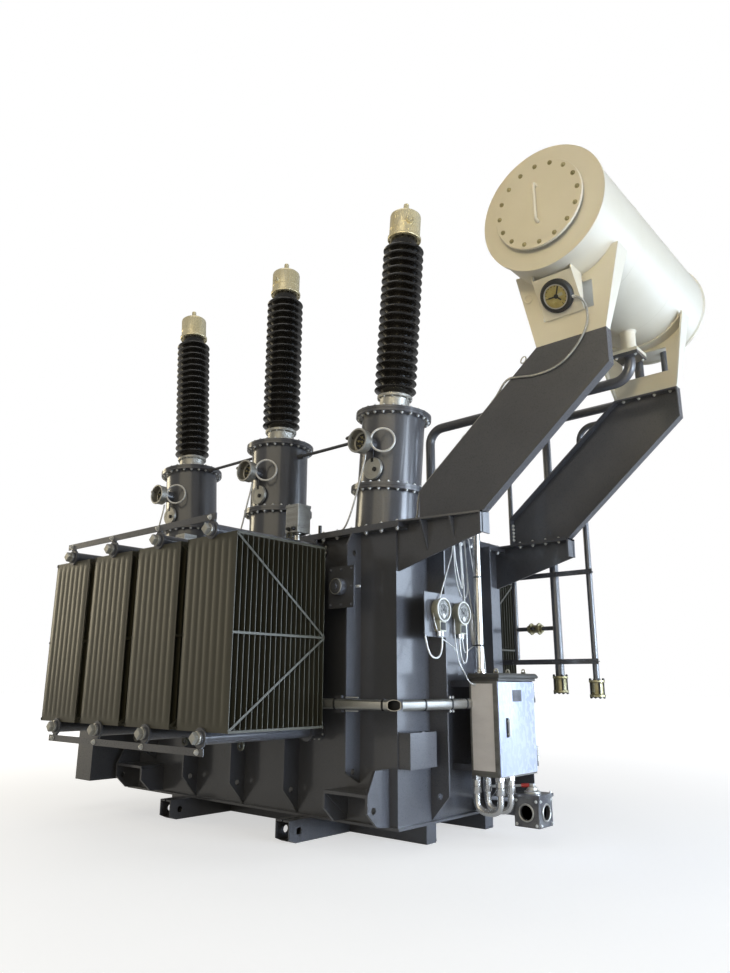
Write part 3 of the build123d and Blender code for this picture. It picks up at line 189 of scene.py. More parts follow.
BRASS = surface(
    "brass", [(0.84, 0.72, 0.42), (0.92, 0.81, 0.52), (0.96, 0.88, 0.64)],
    (0.20, 0.36), 55, 0.10, metallic=0.45, blotch=3.0, stretch=(6, 6, 0.4),
)
VALVE = surface(
    "valve_brass", [(0.26, 0.23, 0.12), (0.38, 0.34, 0.20), (0.50, 0.46, 0.30)],
    (0.30, 0.52), 130, 0.20, LATE, metallic=0.8, blotch=9.0,
)
STEEL = surface(
    "stainless", [(0.30, 0.295, 0.27), (0.37, 0.365, 0.34), (0.46, 0.455, 0.43)],
    (0.24, 0.40), 90, 0.06, metallic=0.85, blotch=3.5, stretch=(1, 1, 8),
)
SHEET = surface(
    "cabinet_sheet", [(0.76, 0.72, 0.70), (0.82, 0.78, 0.76), (0.86, 0.82, 0.80)],
    (0.26, 0.42), 60, 0.05, metallic=0.05, coat=0.3, blotch=4.0, stretch=(1, 1, 3),
)
TRIM = surface(
    "cabinet_trim", [(0.050, 0.048, 0.042), (0.066, 0.064, 0.057), (0.090, 0.087, 0.078)],
    (0.42, 0.58), 80, 0.06, metallic=0.1, blotch=5.0, stretch=(1, 1, 4),
)
ZINC = surface(
    "zinc", [(0.50, 0.50, 0.48), (0.60, 0.60, 0.58), (0.70, 0.70, 0.68)],
    (0.30, 0.50), 300, 0.12, metallic=0.6, blotch=14.0,
)
ALLOY = surface(
    "cast_alloy", [(0.34, 0.33, 0.30), (0.42, 0.41, 0.37), (0.50, 0.49, 0.45)],
    (0.34, 0.54), 220, 0.20, metallic=0.7, blotch=7.0,
)
RUBBER = surface(
    "rubber", [(0.012, 0.012, 0.013), (0.022, 0.022, 0.022), (0.034, 0.033, 0.032)],
    (0.45, 0.70), 260, 0.12, (0.3, 0.6, 0.8), blotch=6.0,
)
DIAL = surface(
    "dial_face", [(0.58, 0.57, 0.52), (0.66, 0.65, 0.60), (0.72, 0.71, 0.67)],
    (0.40, 0.55), 200, 0.02, LATE, blotch=8.0,
)
LEAD = surface(
    "lead_sleeve", [(0.56, 0.55, 0.52), (0.66, 0.65, 0.62), (0.74, 0.73, 0.70)],
    (0.35, 0.55), 320, 0.10, LATE, metallic=0.3, blotch=18.0,
)
CASE = surface(
    "gauge_case", [(0.30, 0.29, 0.22), (0.40, 0.39, 0.30), (0.50, 0.49, 0.39)],
    (0.28, 0.46), 180, 0.10, metallic=0.35, blotch=9.0,
)
FACE = surface(
    "gauge_face", [(0.035, 0.035, 0.030), (0.10, 0.10, 0.09), (0.20, 0.195, 0.18)],
    (0.30, 0.45), 200, 0.02, (0.38, 0.5, 0.62), blotch=42.0,
)
STRIP = surface(
    "cabinet_strip", [(0.13, 0.125, 0.115), (0.18, 0.175, 0.16), (0.24, 0.235, 0.22)],
    (0.30, 0.46), 80, 0.06, metallic=0.4, blotch=5.0, stretch=(1, 1, 4),
)
POLISH = surface(
    "polished_steel", [(0.50, 0.49, 0.47), (0.60, 0.59, 0.57), (0.70, 0.69, 0.67)],
    (0.25, 0.27), 30, 0.0, metallic=0.95, blotch=2.0,
)
CASTING = surface(
    "dark_casting", [(0.085, 0.085, 0.092), (0.14, 0.14, 0.148), (0.22, 0.22, 0.22)],
    (0.26, 0.46), 200, 0.20, metallic=0.6, blotch=9.0,
)
RED = surface(
    "red_paint", [(0.42, 0.03, 0.025), (0.52, 0.045, 0.035), (0.60, 0.07, 0.05)],
    (0.35, 0.50), 180, 0.05, LATE, blotch=10.0,
)
FILM = surface(
    "film", [(0.46, 0.50, 0.66), (0.49, 0.53, 0.69), (0.52, 0.56, 0.72)],
    (0.20, 0.34), 34, 0.06, coat=0.4, blotch=4.5, stretch=(1, 1, 0.6),
)
YELLOW = surface(
    "yellow_dial", [(0.26, 0.21, 0.07), (0.36, 0.30, 0.11), (0.46, 0.40, 0.18)],
    (0.24, 0.40), 160, 0.03, LATE, blotch=26.0,
)


# Directions, rings and profiles
def turns(segments, start=0.0):
    return [start + 2 * math.pi * i / segments for i in range(segments)]


def across(axis):
    """Two directions that stand square on an axis."""
    helper = NEAR if abs(axis.x) < 0.9 else ACROSS
    side = (helper - axis * helper.dot(axis)).normalized()
    return side, axis.cross(side)


def ring_places(foot, axis, radius, count, start=0.0):
    side, other = across(axis)
    return [foot + (side * math.cos(t) + other * math.sin(t)) * radius for t in turns(count, start)]


def flange(radius, low, high, edge=2):
    """Profile of a round flange with broken edges."""
    return [(radius - edge, low), (radius, low + edge), (radius, high - edge), (radius - edge, high)]


def washer(inner, outer, thickness):
    """Closed profile of a flat ring."""
    return [(inner, 0), (outer, 0), (outer, thickness), (inner, thickness), (inner, 0)]


def smooth_path(points):
    """Points along a smooth curve that takes the given points as its control points."""
    data = bpy.data.curves.new("route", "CURVE")
    data.dimensions = "3D"
    data.resolution_u = 20
    spline = data.splines.new("NURBS")
    spline.points.add(len(points) - 1)
    for control, point in zip(spline.points, points):
        control.co = (*point, 1)
    spline.order_u = 3
    spline.use_endpoint_u = True
    route = bpy.data.objects.new("route", data)
    mesh = bpy.data.meshes.new_from_object(route)
    path = [vertex.co.copy() for vertex in mesh.vertices]
    bpy.data.objects.remove(route)
    bpy.data.curves.remove(data)
    bpy.data.meshes.remove(mesh)
    return path


def even_steps(path, step):
    """Points at even steps along a path."""
    lengths = [0.0]
    for start, end in zip(path, path[1:]):
        lengths.append(lengths[-1] + (end - start).length)
    count = max(3, round(lengths[-1] / step))
    steps = []
    leg = 0
    for index in range(count + 1):
        reach = lengths[-1] * index / count
        while leg < len(path) - 2 and lengths[leg + 1] < reach:
            leg += 1
        share = (reach - lengths[leg]) / (lengths[leg + 1] - lengths[leg])
        steps.append(path[leg].lerp(path[leg + 1], share))
    return steps


at = Matrix.Translation


class Shape:
    """Faces gathered for one mesh."""

    def __init__(self):
        self.points = []
        self.faces = []

    def grid(self, rows):
        """Quads between rows of points, each row a closed ring."""
        start = len(self.points)
        width = len(rows[0])
        for row in rows:
            self.points.extend(row)
        for r in range(len(rows) - 1):
            for c in range(width):
                a = start + r * width + c
                b = start + r * width + (c + 1) % width
                self.faces.append((a, b, b + width, a + width))

    def cap(self, ring):
        start = len(self.points)
        self.points.extend(ring)
        self.faces.append(tuple(range(start, start + len(ring))))

    def loft(self, rows):
        """Closed body through rows of points."""
        self.grid(rows)
        self.cap(rows[0])
        self.cap(rows[-1])

    def lathe(self, foot, axis, profile, segments):
        """Turn a profile of (radius, height) points about an axis."""
        self.grid([ring_places(foot + axis * height, axis, radius, segments) for radius, height in profile])

    def box(self, low, high, place=Matrix()):
        xs, ys, zs = zip(low, high)
        corners = [Vector((x, y, z)) for z in zs for y in ys for x in xs]
        start = len(self.points)
        self.points.extend(place @ corner for corner in corners)
        for face in ((0, 2, 3, 1), (4, 5, 7, 6), (0, 1, 5, 4), (2, 6, 7, 3), (0, 4, 6, 2), (1, 3, 7, 5)):
            self.faces.append(tuple(start + i for i in face))

    def bar(self, start, end, width, depth, facing):
        """Flat bar between two points, its width across both its run and the facing direction."""
        run = (end - start).normalized()
        out = (facing - run * facing.dot(run)).normalized()
        place = Matrix((run, out.cross(run), out)).transposed().to_4x4()
        place.translation = start
        self.box((0, -width / 2, 0), ((end - start).length, width / 2, depth), place)

    def prism(self, outline, sweep):
        """Flat outline with a thickness."""
        self.loft([outline, [point + sweep for point in outline]])

    def holed_plate(self, centre, axis, half, thickness, bore, depth):
        """Square plate on a plane, with a round blind bore in its outer face."""
        side, other = across(axis)
        square, round_row = [], []
        for t in turns(32):
            way = side * math.cos(t) + other * math.sin(t)
            square.append(centre + way * half / max(abs(math.cos(t)), abs(math.sin(t))))
            round_row.append(centre + way * bore)
        face = axis * thickness
        self.loft([square, [p + face for p in square], [p + face for p in round_row],
                   [p + face - axis * depth for p in round_row]])

    def tube(self, points, radius, ridge=0.0, pitch=10.0, sides=12):
        """Tube along a smooth curve, with ridges round it where a ridge height is given."""
        steps = even_steps(smooth_path(points), pitch / 4 if ridge else radius * 1.5)
        rows = []
        side = None
        for index, middle in enumerate(steps):
            run = (steps[min(index + 1, len(steps) - 1)] - steps[max(index - 1, 0)]).normalized()
            side = across(run)[0] if side is None else (side - run * side.dot(run)).normalized()
            other = run.cross(side)
            swell = radius - ridge * (index % 4 == 2)
            rows.append([middle + (side * math.cos(t) + other * math.sin(t)) * swell for t in turns(sides)])
        self.loft(rows)

    def ring(self, centre, axis, radius, thickness, segments=36, sides=10):
        """Closed round ring of round bar."""
        side, other = across(axis)
        rows = []
        for t in turns(segments):
            out = side * math.cos(t) + other * math.sin(t)
            rows.append([centre + out * (radius + thickness * math.cos(s)) + axis * thickness * math.sin(s)
                         for s in turns(sides)])
        self.grid(rows + rows[:1])

    def bolt(self, seat, axis, size):
        """Hex head on a washer, with a short thread end standing out of it."""
        head, disc, thread, point = size * 0.9, size * 1.15, size * 0.5, size * 0.36
        rise, top, tip = size * 0.16, size * 0.8, size * 1.2
        self.lathe(seat, axis, [(disc, 0), (disc, rise), (head * 0.8, rise)], 12)
        self.lathe(seat, axis, [(head, rise), (head, size * 0.72), (head * 0.86, top), (thread, top)], 6)
        self.lathe(seat, axis, [(thread, size * 0.7), (thread, size * 1.12), (point, tip), (0, tip)], 10)

    def mesh(self, name):
        mesh = bpy.data.meshes.new(name)
        mesh.from_pydata([tuple(p * MM) for p in self.points], [], self.faces)
        work = bmesh.new()
        work.from_mesh(mesh)
        bmesh.ops.remove_doubles(work, verts=work.verts, dist=1e-6)
        bmesh.ops.recalc_face_normals(work, faces=work.faces)
        work.to_mesh(mesh)
        work.free()
        return mesh


# Pieces
def dress(obj, material, body="root"):
    """Put a piece in the scene with its material and the body that carries it."""
    bpy.context.scene.collection.objects.link(obj)
    if not obj.data.materials:
        obj.data.materials.append(material)
        obj.data.shade_smooth()
        obj.data.set_sharp_from_angle(angle=math.radians(35))
    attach(obj, body)


def round_edges(obj, width):
    """Round a piece's edges so that they catch light."""
    modifier = obj.modifiers.new("rounding", "BEVEL")
    modifier.width = width * MM
    modifier.segments = 2
    modifier.limit_method = "ANGLE"
    modifier.angle_limit = math.radians(40)
    modifier.harden_normals = True


def show(name, shape, material, node=None, bevel=0.0, body="root"):
    """Piece made of a shape, with the solid that it stands for and the width of its rounded edges."""
    piece = bpy.data.objects.new(name, shape.mesh(name))
    dress(piece, material, body)
    if bevel:
        round_edges(piece, bevel)
    if node:
        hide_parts(node)


def block(name, low, high, material, node=None, bevel=1.0, body="root"):
    shape = Shape()
    shape.box(low, high)
    show(name, shape, material, node, bevel, body)


def turned(name, foot, axis, profile, segments, material, node=None):
    """Piece turned from one profile of (radius, height) points."""
    shape = Shape()
    shape.lathe(foot, axis, profile, segments)
    show(name, shape, material, node)


def tube(name, points, radius, material, node=None, ridge=0.0, pitch=10.0, sides=12):
    shape = Shape()
    shape.tube(points, radius, ridge, pitch, sides)
    show(name, shape, material, node)


def bolts(name, seats, size, material=ZINC):
    shape = Shape()
    for seat, axis in seats:
        shape.bolt(seat, axis, size)
    show(name, shape, material)


# Finishes of the solids, also of those that pieces stand for
FINISHES = {
    PAINT: (
        "tank_body", "tank_flange", "tank_cover", "skids", "wall_ribs", "end_ribs", "jacking_brackets",
        "radiator_tie_bars", "radiator_valves", "turrets", "vent_pipes", "conservator_supports",
        "support_arms", "oil_pipe", "gas_relay", "drop_pipes", "pipe_ties", "thermometer_plate",
        "nameplate_bracket", "blanking_flange", "far_end_box", "cabinet_brackets", "ct_terminal_boxes",
    ),
    FIN_PAINT_PAINTED_SHADE: ("radiators_front", "radiators_rear"),
    WHITE: ("conservator_shell", "conservator_ends", "conservator_saddles", "manhole_cover", "gauge_bracket"),
    PORCELAIN: ("bushings", "lv_bushings"),
    BRASS: ("bushing_caps",),
    VALVE: ("pipe_valves",),
    SHEET: ("cabinet_shell",),
    TRIM: ("cabinet_roof",),
    STEEL: ("hinge_pins", "cabinet_hoses", "gauge_conduit", "cable_ducts", "junction_boxes", "thermometers"),
    POLISH: ("riser_conduit",),
    ALLOY: ("bushing_collars",),
    CASTING: ("drain_valve",),
    RUBBER: ("oil_level_gauge",),
    FILM: ("cabinet_door",),
}
for material, names in FINISHES.items():
    for name in names:
        nodes[name].data.materials.clear()
        nodes[name].data.materials.append(material)

EDGED = (
    "tank_flange", "tank_cover", "wall_ribs", "end_ribs", "jacking_brackets", "skids", "support_arms",
    "conservator_supports", "conservator_saddles", "thermometer_plate", "nameplate_bracket",
    "blanking_flange", "far_end_box", "cabinet_brackets", "radiator_tie_bars", "pipe_ties", "gauge_bracket",
    "gas_relay",
)
for name in EDGED:
    round_edges(nodes[name], 2.5)


# Radiators: pressed panels with flutes, header pipes, plugs and flat braces
FIN_COUNT = 19
FIN_PITCH = 45.5
FIN_HALF = 260.0
FIN_FOOT = 775.0
FIN_HEIGHT = 1257.0
FIN_START = 935.5
FIN_RIM = 14.0
FIN_SKIN = 2.4
FLUTES = 7
FLUTE_SWELL = 5.0
FLUTE_SECTION = ((0.0, 0.0), (0.16, 0.35), (0.5, 1.0), (0.84, 0.35))
FLUTE_ENDS = ((0, 0.0), (34, 0.0), (52, 0.6), (80, 1.0))


def fin(shape, y):
    """One pressed panel: two skins that bulge into flutes between flat seams."""
    flute = 2 * (FIN_HALF - FIN_RIM) / FLUTES
    columns = [(-FIN_HALF, 0.0)]
    for place in range(FLUTES):
        start = -FIN_HALF + FIN_RIM + place * flute
        columns += [(start + flute * share, bulge) for share, bulge in FLUTE_SECTION]
    columns += [(FIN_HALF - FIN_RIM, 0.0), (FIN_HALF, 0.0)]
    levels = [*FLUTE_ENDS, *((FIN_HEIGHT - height, swell) for height, swell in reversed(FLUTE_ENDS))]
    rows = []
    for height, swell in levels:
        skin = [(x, FIN_SKIN + FLUTE_SWELL * bulge * swell) for x, bulge in columns]
        front = [Vector((x, y - half, FIN_FOOT + height)) for x, half in skin]
        back = [Vector((x, y + half, FIN_FOOT + height)) for x, half in reversed(skin)]
        rows.append(front + back)
    shape.loft(rows)


panels = Shape()
for place in range(FIN_COUNT):
    fin(panels, -FIN_START - place * FIN_PITCH)

HEADER_START, HEADER_END = 830.0, 1785.0
HEADER_PIPE, HEADER_COLLAR = 44.5, 62.0
headers, plugs = Shape(), Shape()
for height in HEADERS:
    foot = Vector((0, -HEADER_START, height))
    reach = HEADER_END - HEADER_START
    headers.lathe(foot, OUT, [
        (0, 0), (HEADER_PIPE, 0), (HEADER_PIPE, reach - 34), *flange(HEADER_COLLAR, reach - 34, reach - 14),
        (HEADER_PIPE, reach - 14), (HEADER_PIPE, reach - 4), (HEADER_PIPE - 6, reach), (0, reach),
    ], 40)
    ear = foot + OUT * (reach - 30) + UP * math.copysign(HEADER_COLLAR, height - BETWEEN_HEADERS)
    headers.box((-26, -14, -20), (26, 0, 20), at(ear))
    seat = foot + OUT * reach
    plugs.lathe(seat - OUT * 2, OUT, [(40, 0), (40, 12), (36, 14), (30, 14)], 28)
    plugs.lathe(seat, OUT, [(38.5, 10), (38.5, 36), (34, 42), (0, 42)], 4)

FIN_OUTER = -FIN_START - (FIN_COUNT - 1) * FIN_PITCH - 5
FIN_INNER = -FIN_START + 5
FIN_TOP = FIN_FOOT + FIN_HEIGHT
FIN_MIDDLE = FIN_FOOT + FIN_HEIGHT / 2 - 20
BRACES = (
    (FIN_TOP - 12, FIN_MIDDLE, 15), (FIN_FOOT + 12, FIN_MIDDLE, 15), (FIN_MIDDLE, FIN_MIDDLE, 15),
    (FIN_FOOT + 8, FIN_FOOT + 8, 16), (FIN_TOP - 8, FIN_TOP - 8, 16),
)
braces = Shape()
for hand in BOTH:
    edge = hand * (FIN_HALF + 0.5)
    for outer_z, inner_z, width in BRACES:
        start, end = Vector((edge, FIN_OUTER, outer_z)), Vector((edge, FIN_INNER, inner_z))
        braces.bar(start, end, width, 4, NEAR * hand)
for y, z in ((-1430, LOWER_HEADER - 44), (-1050, UPPER_HEADER + 44)):
    lift_ring = Vector((0, y, z + math.copysign(24, z - BETWEEN_HEADERS)))
    braces.lathe(lift_ring - OUT * 6, OUT, washer(18, 30, 12), 20)

BANK_KINDS = (("panels", panels, FIN_PAINT_PAINTED_SHADE), ("headers", headers, PAINT), ("braces", braces, FIN_PAINT_PAINTED_SHADE),
              ("plugs", plugs, ALLOY))
bank_meshes = [(kind, shape.mesh(f"radiator_{kind}"), material) for kind, shape, material in BANK_KINDS]
for side, turn in (("front", 0.0), ("rear", math.pi)):
    for place, x in enumerate(RADIATOR_X):
        for kind, mesh, material in bank_meshes:
            bank = bpy.data.objects.new(f"radiator_{kind}_{side}_{place + 1}", mesh)
            bank.location = (x * MM, 0, 0)
            bank.rotation_euler = (0, 0, turn)
            dress(bank, material)
            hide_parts(f"radiators_{side}")

# Bolts that hold the tie bars to the header rings
TIE_BOLT_Y, TIE_BOLT_RISE = 1782, 85
tie_bolts = []
for sign in BOTH:
    for x in RADIATOR_X:
        for height in (LOWER_HEADER - TIE_BOLT_RISE, UPPER_HEADER + TIE_BOLT_RISE):
            tie_bolts.append((Vector((x, sign * TIE_BOLT_Y, height)), ACROSS * sign))
bolts("tie_bar_bolts", tie_bolts, 17)

# Turrets, collars, insulators and caps: turned pieces on leaning axes
SHED_START, SHED_END, INSULATOR_TOP, SHED_COUNT = 1116, 2405, 2475, 19
SHED_PITCH = (SHED_END - SHED_START) / SHED_COUNT
SHED = ((0.0, 116), (0.13, 124), (0.27, 147), (0.38, 162), (0.49, 168), (0.60, 165), (0.71, 152), (0.86, 129))
INSULATOR = [(0, SHED_START), (112, SHED_START)]
for shed in range(SHED_COUNT):
    INSULATOR += [(radius, SHED_START + (shed + share) * SHED_PITCH) for share, radius in SHED]
INSULATOR += [(116, SHED_END), (111, SHED_END + 12), (111, INSULATOR_TOP), (0, INSULATOR_TOP)]
CAP = [
    (0, 0), (138, 0), (140, 3), (140, 21), (138, 24), (129, 26), (129, 75), (126.5, 78), (126.5, 82),
    (129, 85), (129, 212), (125, 226), (114, 236), (98, 239), (46, 241), (44, 262), (30, 268), (22.5, 272),
    (22.5, 332), (18, 340), (0, 340),
]
CAP_LID = 241
CAP_PLUGS = {"a": 180, "b": -86, "c": -34}
COLLAR = [
    (165, 0), (165, 22), (161, 26), (128, 30), (120, 40), (118, 118), (122, 126), (137, 130), (140, 134),
    (140, 152), (136, 156), (118, 160), (112, 167), (0, 167),
]
TURRET_RIM, TURRET_SKIN, TURRET_TOP = 297.5, 247.5, 949
TURRET_SEAMS = (330, 927)
TURRET = [
    (0, -30), (TURRET_SKIN, -30), (TURRET_SKIN, 308), *flange(TURRET_RIM, 308, 352), (TURRET_SKIN, 352),
    (TURRET_SKIN, 905), *flange(TURRET_RIM, 905, TURRET_TOP), (0, TURRET_TOP),
]
TURRET_WELDS = ((308, -1), (352, 1), (905, -1))
WELD = ((-2, 8), (3, 6.5), (6.5, 3), (8, -1))
turret_bolts, collar_bolts, cap_bolts = [], [], []
for phase in PHASES:
    foot, axis = turret_axis(phase)
    turned(f"insulator_{phase}", foot, axis, INSULATOR, 56, PORCELAIN, "bushings")

    top = foot + axis * INSULATOR_TOP
    turn = math.radians(CAP_PLUGS[phase])
    sideways = Vector((math.cos(turn), math.sin(turn), 0))
    plug = top + axis * 115 + sideways * 125
    shape = Shape()
    shape.lathe(top, axis, CAP, 64)
    shape.lathe(plug, sideways, [(31, 0), (31, 22), (29, 26), (22, 26)], 32)
    shape.lathe(plug, sideways, [(22, 20), (22, 28), (0, 28)], 6)
    show(f"cap_{phase}", shape, BRASS, "bushing_caps")
    cap_bolts += [(seat, -axis) for seat in ring_places(top, axis, 128, 12)]
    cap_bolts += [(seat, axis) for seat in ring_places(top + axis * CAP_LID, axis, 80, 6)]

    base = foot + axis * TURRET_TOP
    turned(f"collar_{phase}", base, axis, COLLAR, 56, ALLOY, "bushing_collars")
    collar_bolts += [(seat, axis) for seat in ring_places(base + axis * 26, axis, 146, 12)]
    collar_bolts += [(seat, -axis) for seat in ring_places(base + axis * 130, axis, 129, 12)]

    turned(f"turret_{phase}", foot, axis, TURRET, 96, PAINT, "turrets")
    gaskets, welds = Shape(), Shape()
    for level in TURRET_SEAMS:
        gaskets.lathe(foot, axis, [
            (TURRET_RIM - 10, level - 1.5), (TURRET_RIM + 0.8, level - 1.5),
            (TURRET_RIM + 0.8, level + 1.5), (TURRET_RIM - 10, level + 1.5),
        ], 72)
        for way in BOTH:
            seats = ring_places(foot + axis * (level + way * 22), axis, 274, 24, 0.13)
            turret_bolts += [(seat, axis * way) for seat in seats]
    for level, way in TURRET_WELDS:
        welds.lathe(foot, axis, [(TURRET_SKIN + swell, level + way * rise) for swell, rise in WELD], 72)
    show(f"turret_gaskets_{phase}", gaskets, RUBBER)
    show(f"turret_welds_{phase}", welds, PAINT)
bolts("turret_bolts", turret_bolts, 12.5)
bolts("collar_bolts", collar_bolts, 8.5)
bolts("cap_bolts", cap_bolts, 7.5, VALVE)

# Cover: bolts round the rim, heads above and nuts below
RIM_X, RIM_Y, RIM_FOOT = 3255 / 2 - 42, 1580 / 2 - 42, 2140
LONG_STEPS, SHORT_STEPS = 22, 11
rim = []
for sign in BOTH:
    for step in range(LONG_STEPS + 1):
        rim.append(Vector((TANK_X - RIM_X + 2 * RIM_X * step / LONG_STEPS, sign * RIM_Y, 0)))
    for step in range(1, SHORT_STEPS):
        rim.append(Vector((TANK_X + sign * RIM_X, -RIM_Y + 2 * RIM_Y * step / SHORT_STEPS, 0)))
cover_bolts = [(place + UP * COVER_Z, UP) for place in rim]
cover_bolts += [(place + UP * RIM_FOOT, -UP) for place in rim]
bolts("cover_bolts", cover_bolts, 15)

# Terminal boxes of the current transformers: cup, terminals, hung cover, loop and lead
CT_HEIGHT, CT_BACK = 647, 86
CT_HUNG = Vector((29, 0, -194))
CT_LOOP_TURN = math.radians(37)
CT_CUP = [
    (0, 0), (86, 0), (90, 4), (90, 60), (94, 62), (95, 66), (95, 76), (92, 80), (81, 80), (80, 77),
    (80, 16), (76, 13), (0, 13),
]
CT_COVER = [(0, 1), (83, 1), (85, 3), (85, 21), (81, 26), (60, 26), (58, 24), (30, 24), (28, 26), (0, 26)]
CT_LEAD = ((0, 0, 0), (-10, 0, -60), (-45, -5, -170), (-105, 12, -310), (-185, 30, -460), (-250, 40, -545))
CT_LEAD_REST = 8
TERMINALS = [*ring_places(Vector(), OUT, 36, 5, 0.3), Vector()]
terminals = Shape()
for phase in PHASES:
    foot, axis = turret_axis(phase)
    centre = foot + axis * CT_HEIGHT
    skin = centre + OUT * TURRET_SKIN
    back = skin + OUT * CT_BACK
    hung = skin + CT_HUNG
    shape = Shape()
    shape.lathe(centre + OUT * 150, OUT, [(0, 0), (55, 0), (55, 168), (70, 170), (70, 183)], 40)
    shape.box((-12, -26, 50), (12, -20, 150), at(hung))
    show(f"ct_neck_{phase}", shape, PAINT, "ct_terminal_boxes")
    turned(f"ct_cup_{phase}", back, OUT, CT_CUP, 56, ALLOY, "ct_terminal_boxes")
    turned(f"ct_cover_{phase}", hung, OUT, CT_COVER, 56, ALLOY, "ct_terminal_boxes")
    shape = Shape()
    facing = Vector((math.sin(CT_LOOP_TURN), -math.cos(CT_LOOP_TURN), 0))
    shape.ring(back - OUT * 38 + NEAR * 152, facing, 90, 8.5)
    show(f"ct_loop_{phase}", shape, LEAD, "ct_terminal_boxes")
    turned(f"ct_board_{phase}", back + OUT * 10, OUT, [(0, 0), (66, 0), (66, 6), (63, 9), (0, 9)], 36, RUBBER)
    for place in TERMINALS:
        seat = back + OUT * 19 + place
        terminals.bolt(seat, OUT, 8.5)
        terminals.lathe(seat, OUT, [(3.5, 8), (3.5, 26), (0, 26)], 8)
    shape = Shape()
    shape.lathe(hung + Vector((24, -24, -10)), OUT, [(17, 0), (17, 10), (12, 13), (0, 13)], 20)
    gland = back + Vector((-85, -40, 52))
    shape.lathe(gland, -NEAR, [(20, -20), (20, 18), (15, 22), (13, 50), (8, 60), (0, 60)], 12)
    show(f"ct_glands_{phase}", shape, RUBBER)
    lead = back + Vector((0, 20, -85))
    rest = COVER_Z + CT_LEAD_REST - lead.z
    route = (*CT_LEAD, (-340, 50, rest), (-450, 50, rest))
    tube(f"ct_leads_{phase}", [lead + Vector(point) for point in route], 7, LEAD)
show("ct_terminals", terminals, VALVE)

# Conservator: rolled shell with welds, flanged ends, bolted manhole cover and its grab bar
BARREL = Vector((END_X + 1395, 0, BASE_Z + 3859))
BARREL_HALF = 926
SHELL = 409
SHELL_WELDS = (-310, 310)
SEAM = ((0, -12), (0, -7), (1.8, -3), (1.8, 3), (0, 7), (0, 12))
shell_profile = [(SHELL, -BARREL_HALF)]
for weld in SHELL_WELDS:
    shell_profile += [(SHELL + swell, weld + shift) for swell, shift in SEAM]
shell_profile += [(SHELL, BARREL_HALF)]
shape = Shape()
shape.lathe(BARREL, ACROSS, shell_profile, 128)
for hand in BOTH:
    way = ACROSS * hand
    shape.lathe(BARREL + way * BARREL_HALF, way, [(SHELL - 2, -10), (SHELL + 4, -5), (SHELL + 8, 1)], 128)
shape.lathe(BARREL + OUT * 826, UP, [
    (30, 404), (22, 414), (20, 418), (20, 482), (24, 483), (24, 487), (0, 487),
], 24)
shape.lathe(station(1415, 1000, 3859), -UP, [(66, 402), (57, 415), (55, 420), (55, 569)], 40)
show("conservator_barrel", shape, WHITE, "conservator_shell")
END_PLATE = [(0, 0), *flange(421, 0, 24)]
MANHOLE_NECK = [(268, 24), (262, 27), (260, 32), (260, 58), (0, 58)]
for word, way, face in (("front", OUT, MANHOLE_NECK), ("rear", -OUT, [(0, 24)])):
    foot = BARREL + way * BARREL_HALF
    turned(f"conservator_{word}_end", foot, way, END_PLATE + face, 128, WHITE, "conservator_ends")
GRAB_BAR = ((0, 128), (40, 134), (48, 110), (48, 0), (48, -110), (40, -134), (0, -128))
shape = Shape()
shape.lathe(BARREL + OUT * 984, OUT, [(0, 0), (298, 0), (300, 2), (300, 19), (297, 22), (0, 22)], 96)
shape.tube([BARREL + OUT * (1000 + reach) + UP * rise for reach, rise in GRAB_BAR], 11)
show("manhole_hatch", shape, WHITE, "manhole_cover")
bolts("manhole_bolts", [(seat, OUT) for seat in ring_places(BARREL + OUT * 1006, OUT, 270, 16)], 13.5, VALVE)
GASKET = [(250, 0), (298.5, 0), (298.5, 3), (250, 3)]
turned("manhole_gasket", BARREL + OUT * 982.5, OUT, GASKET, 96, RUBBER)

# Saddles and supports: bolts through the feet, and rings for lashing
SUPPORT_TOP = COVER_Z + 1031
SUPPORT_BOLT_Y = 664 - 36
support_bolts = []
for hand in BOTH:
    foot_y = hand * SUPPORT_BOLT_Y
    for step in range(4):
        top_x = END_X + 1218 + 119 * step
        foot_x = END_X + 255 + 115 * step
        for x, z, way in (
            (top_x, SUPPORT_TOP - 12, -UP), (top_x, SUPPORT_TOP + 14, UP),
            (foot_x, COVER_Z + 12, UP), (foot_x, COVER_Z - 14, -UP),
        ):
            support_bolts.append((Vector((x, foot_y, z)), way))
    for step in range(5):
        support_bolts.append((Vector((END_X + 197, foot_y, COVER_Z + 45 + 30 * step)), NEAR))
bolts("support_bolts", support_bolts, 12, DIAL)
shape = Shape()
shape.ring(station(1130, 18, 3420), Vector((0, 0.94, 0.34)), 26, 4.5, 24, 8)
shape.ring(station(1052, 52, 3014), Vector((0.77, 0, -0.64)), 24, 4.5, 24, 8)
show("lashing_rings", shape, WHITE)

# Arms under the supports: tapered web and shelf, two gussets and a tip plate
ARM_PLATE = 14.0
ARM_Y = 664.0
ARM_ROOT, ARM_NOTCH, ARM_TIP = END_X, END_X + 92, END_X + 701
ARM_ROOT_LOW, ARM_ROOT_HIGH, ARM_TIP_LOW = 1842, 2138, 2040
SHELF_INNER, SHELF_OUTER, SHELF_TIP = 84.0, 126.0, 32.0
SHELF_Z = COVER_Z - ARM_PLATE
ARM_GUSSETS = ((250, 205), (470, 150))
ARM_WEB = (
    (ARM_ROOT, ARM_ROOT_LOW), (ARM_TIP, ARM_TIP_LOW), (ARM_TIP, COVER_Z), (ARM_NOTCH, COVER_Z),
    (ARM_NOTCH, ARM_ROOT_HIGH), (ARM_ROOT, ARM_ROOT_HIGH),
)
ARM_SHELF = (
    (ARM_NOTCH, -SHELF_INNER), (ARM_TIP, -SHELF_INNER), (ARM_TIP, SHELF_TIP), (ARM_NOTCH, SHELF_OUTER),
)
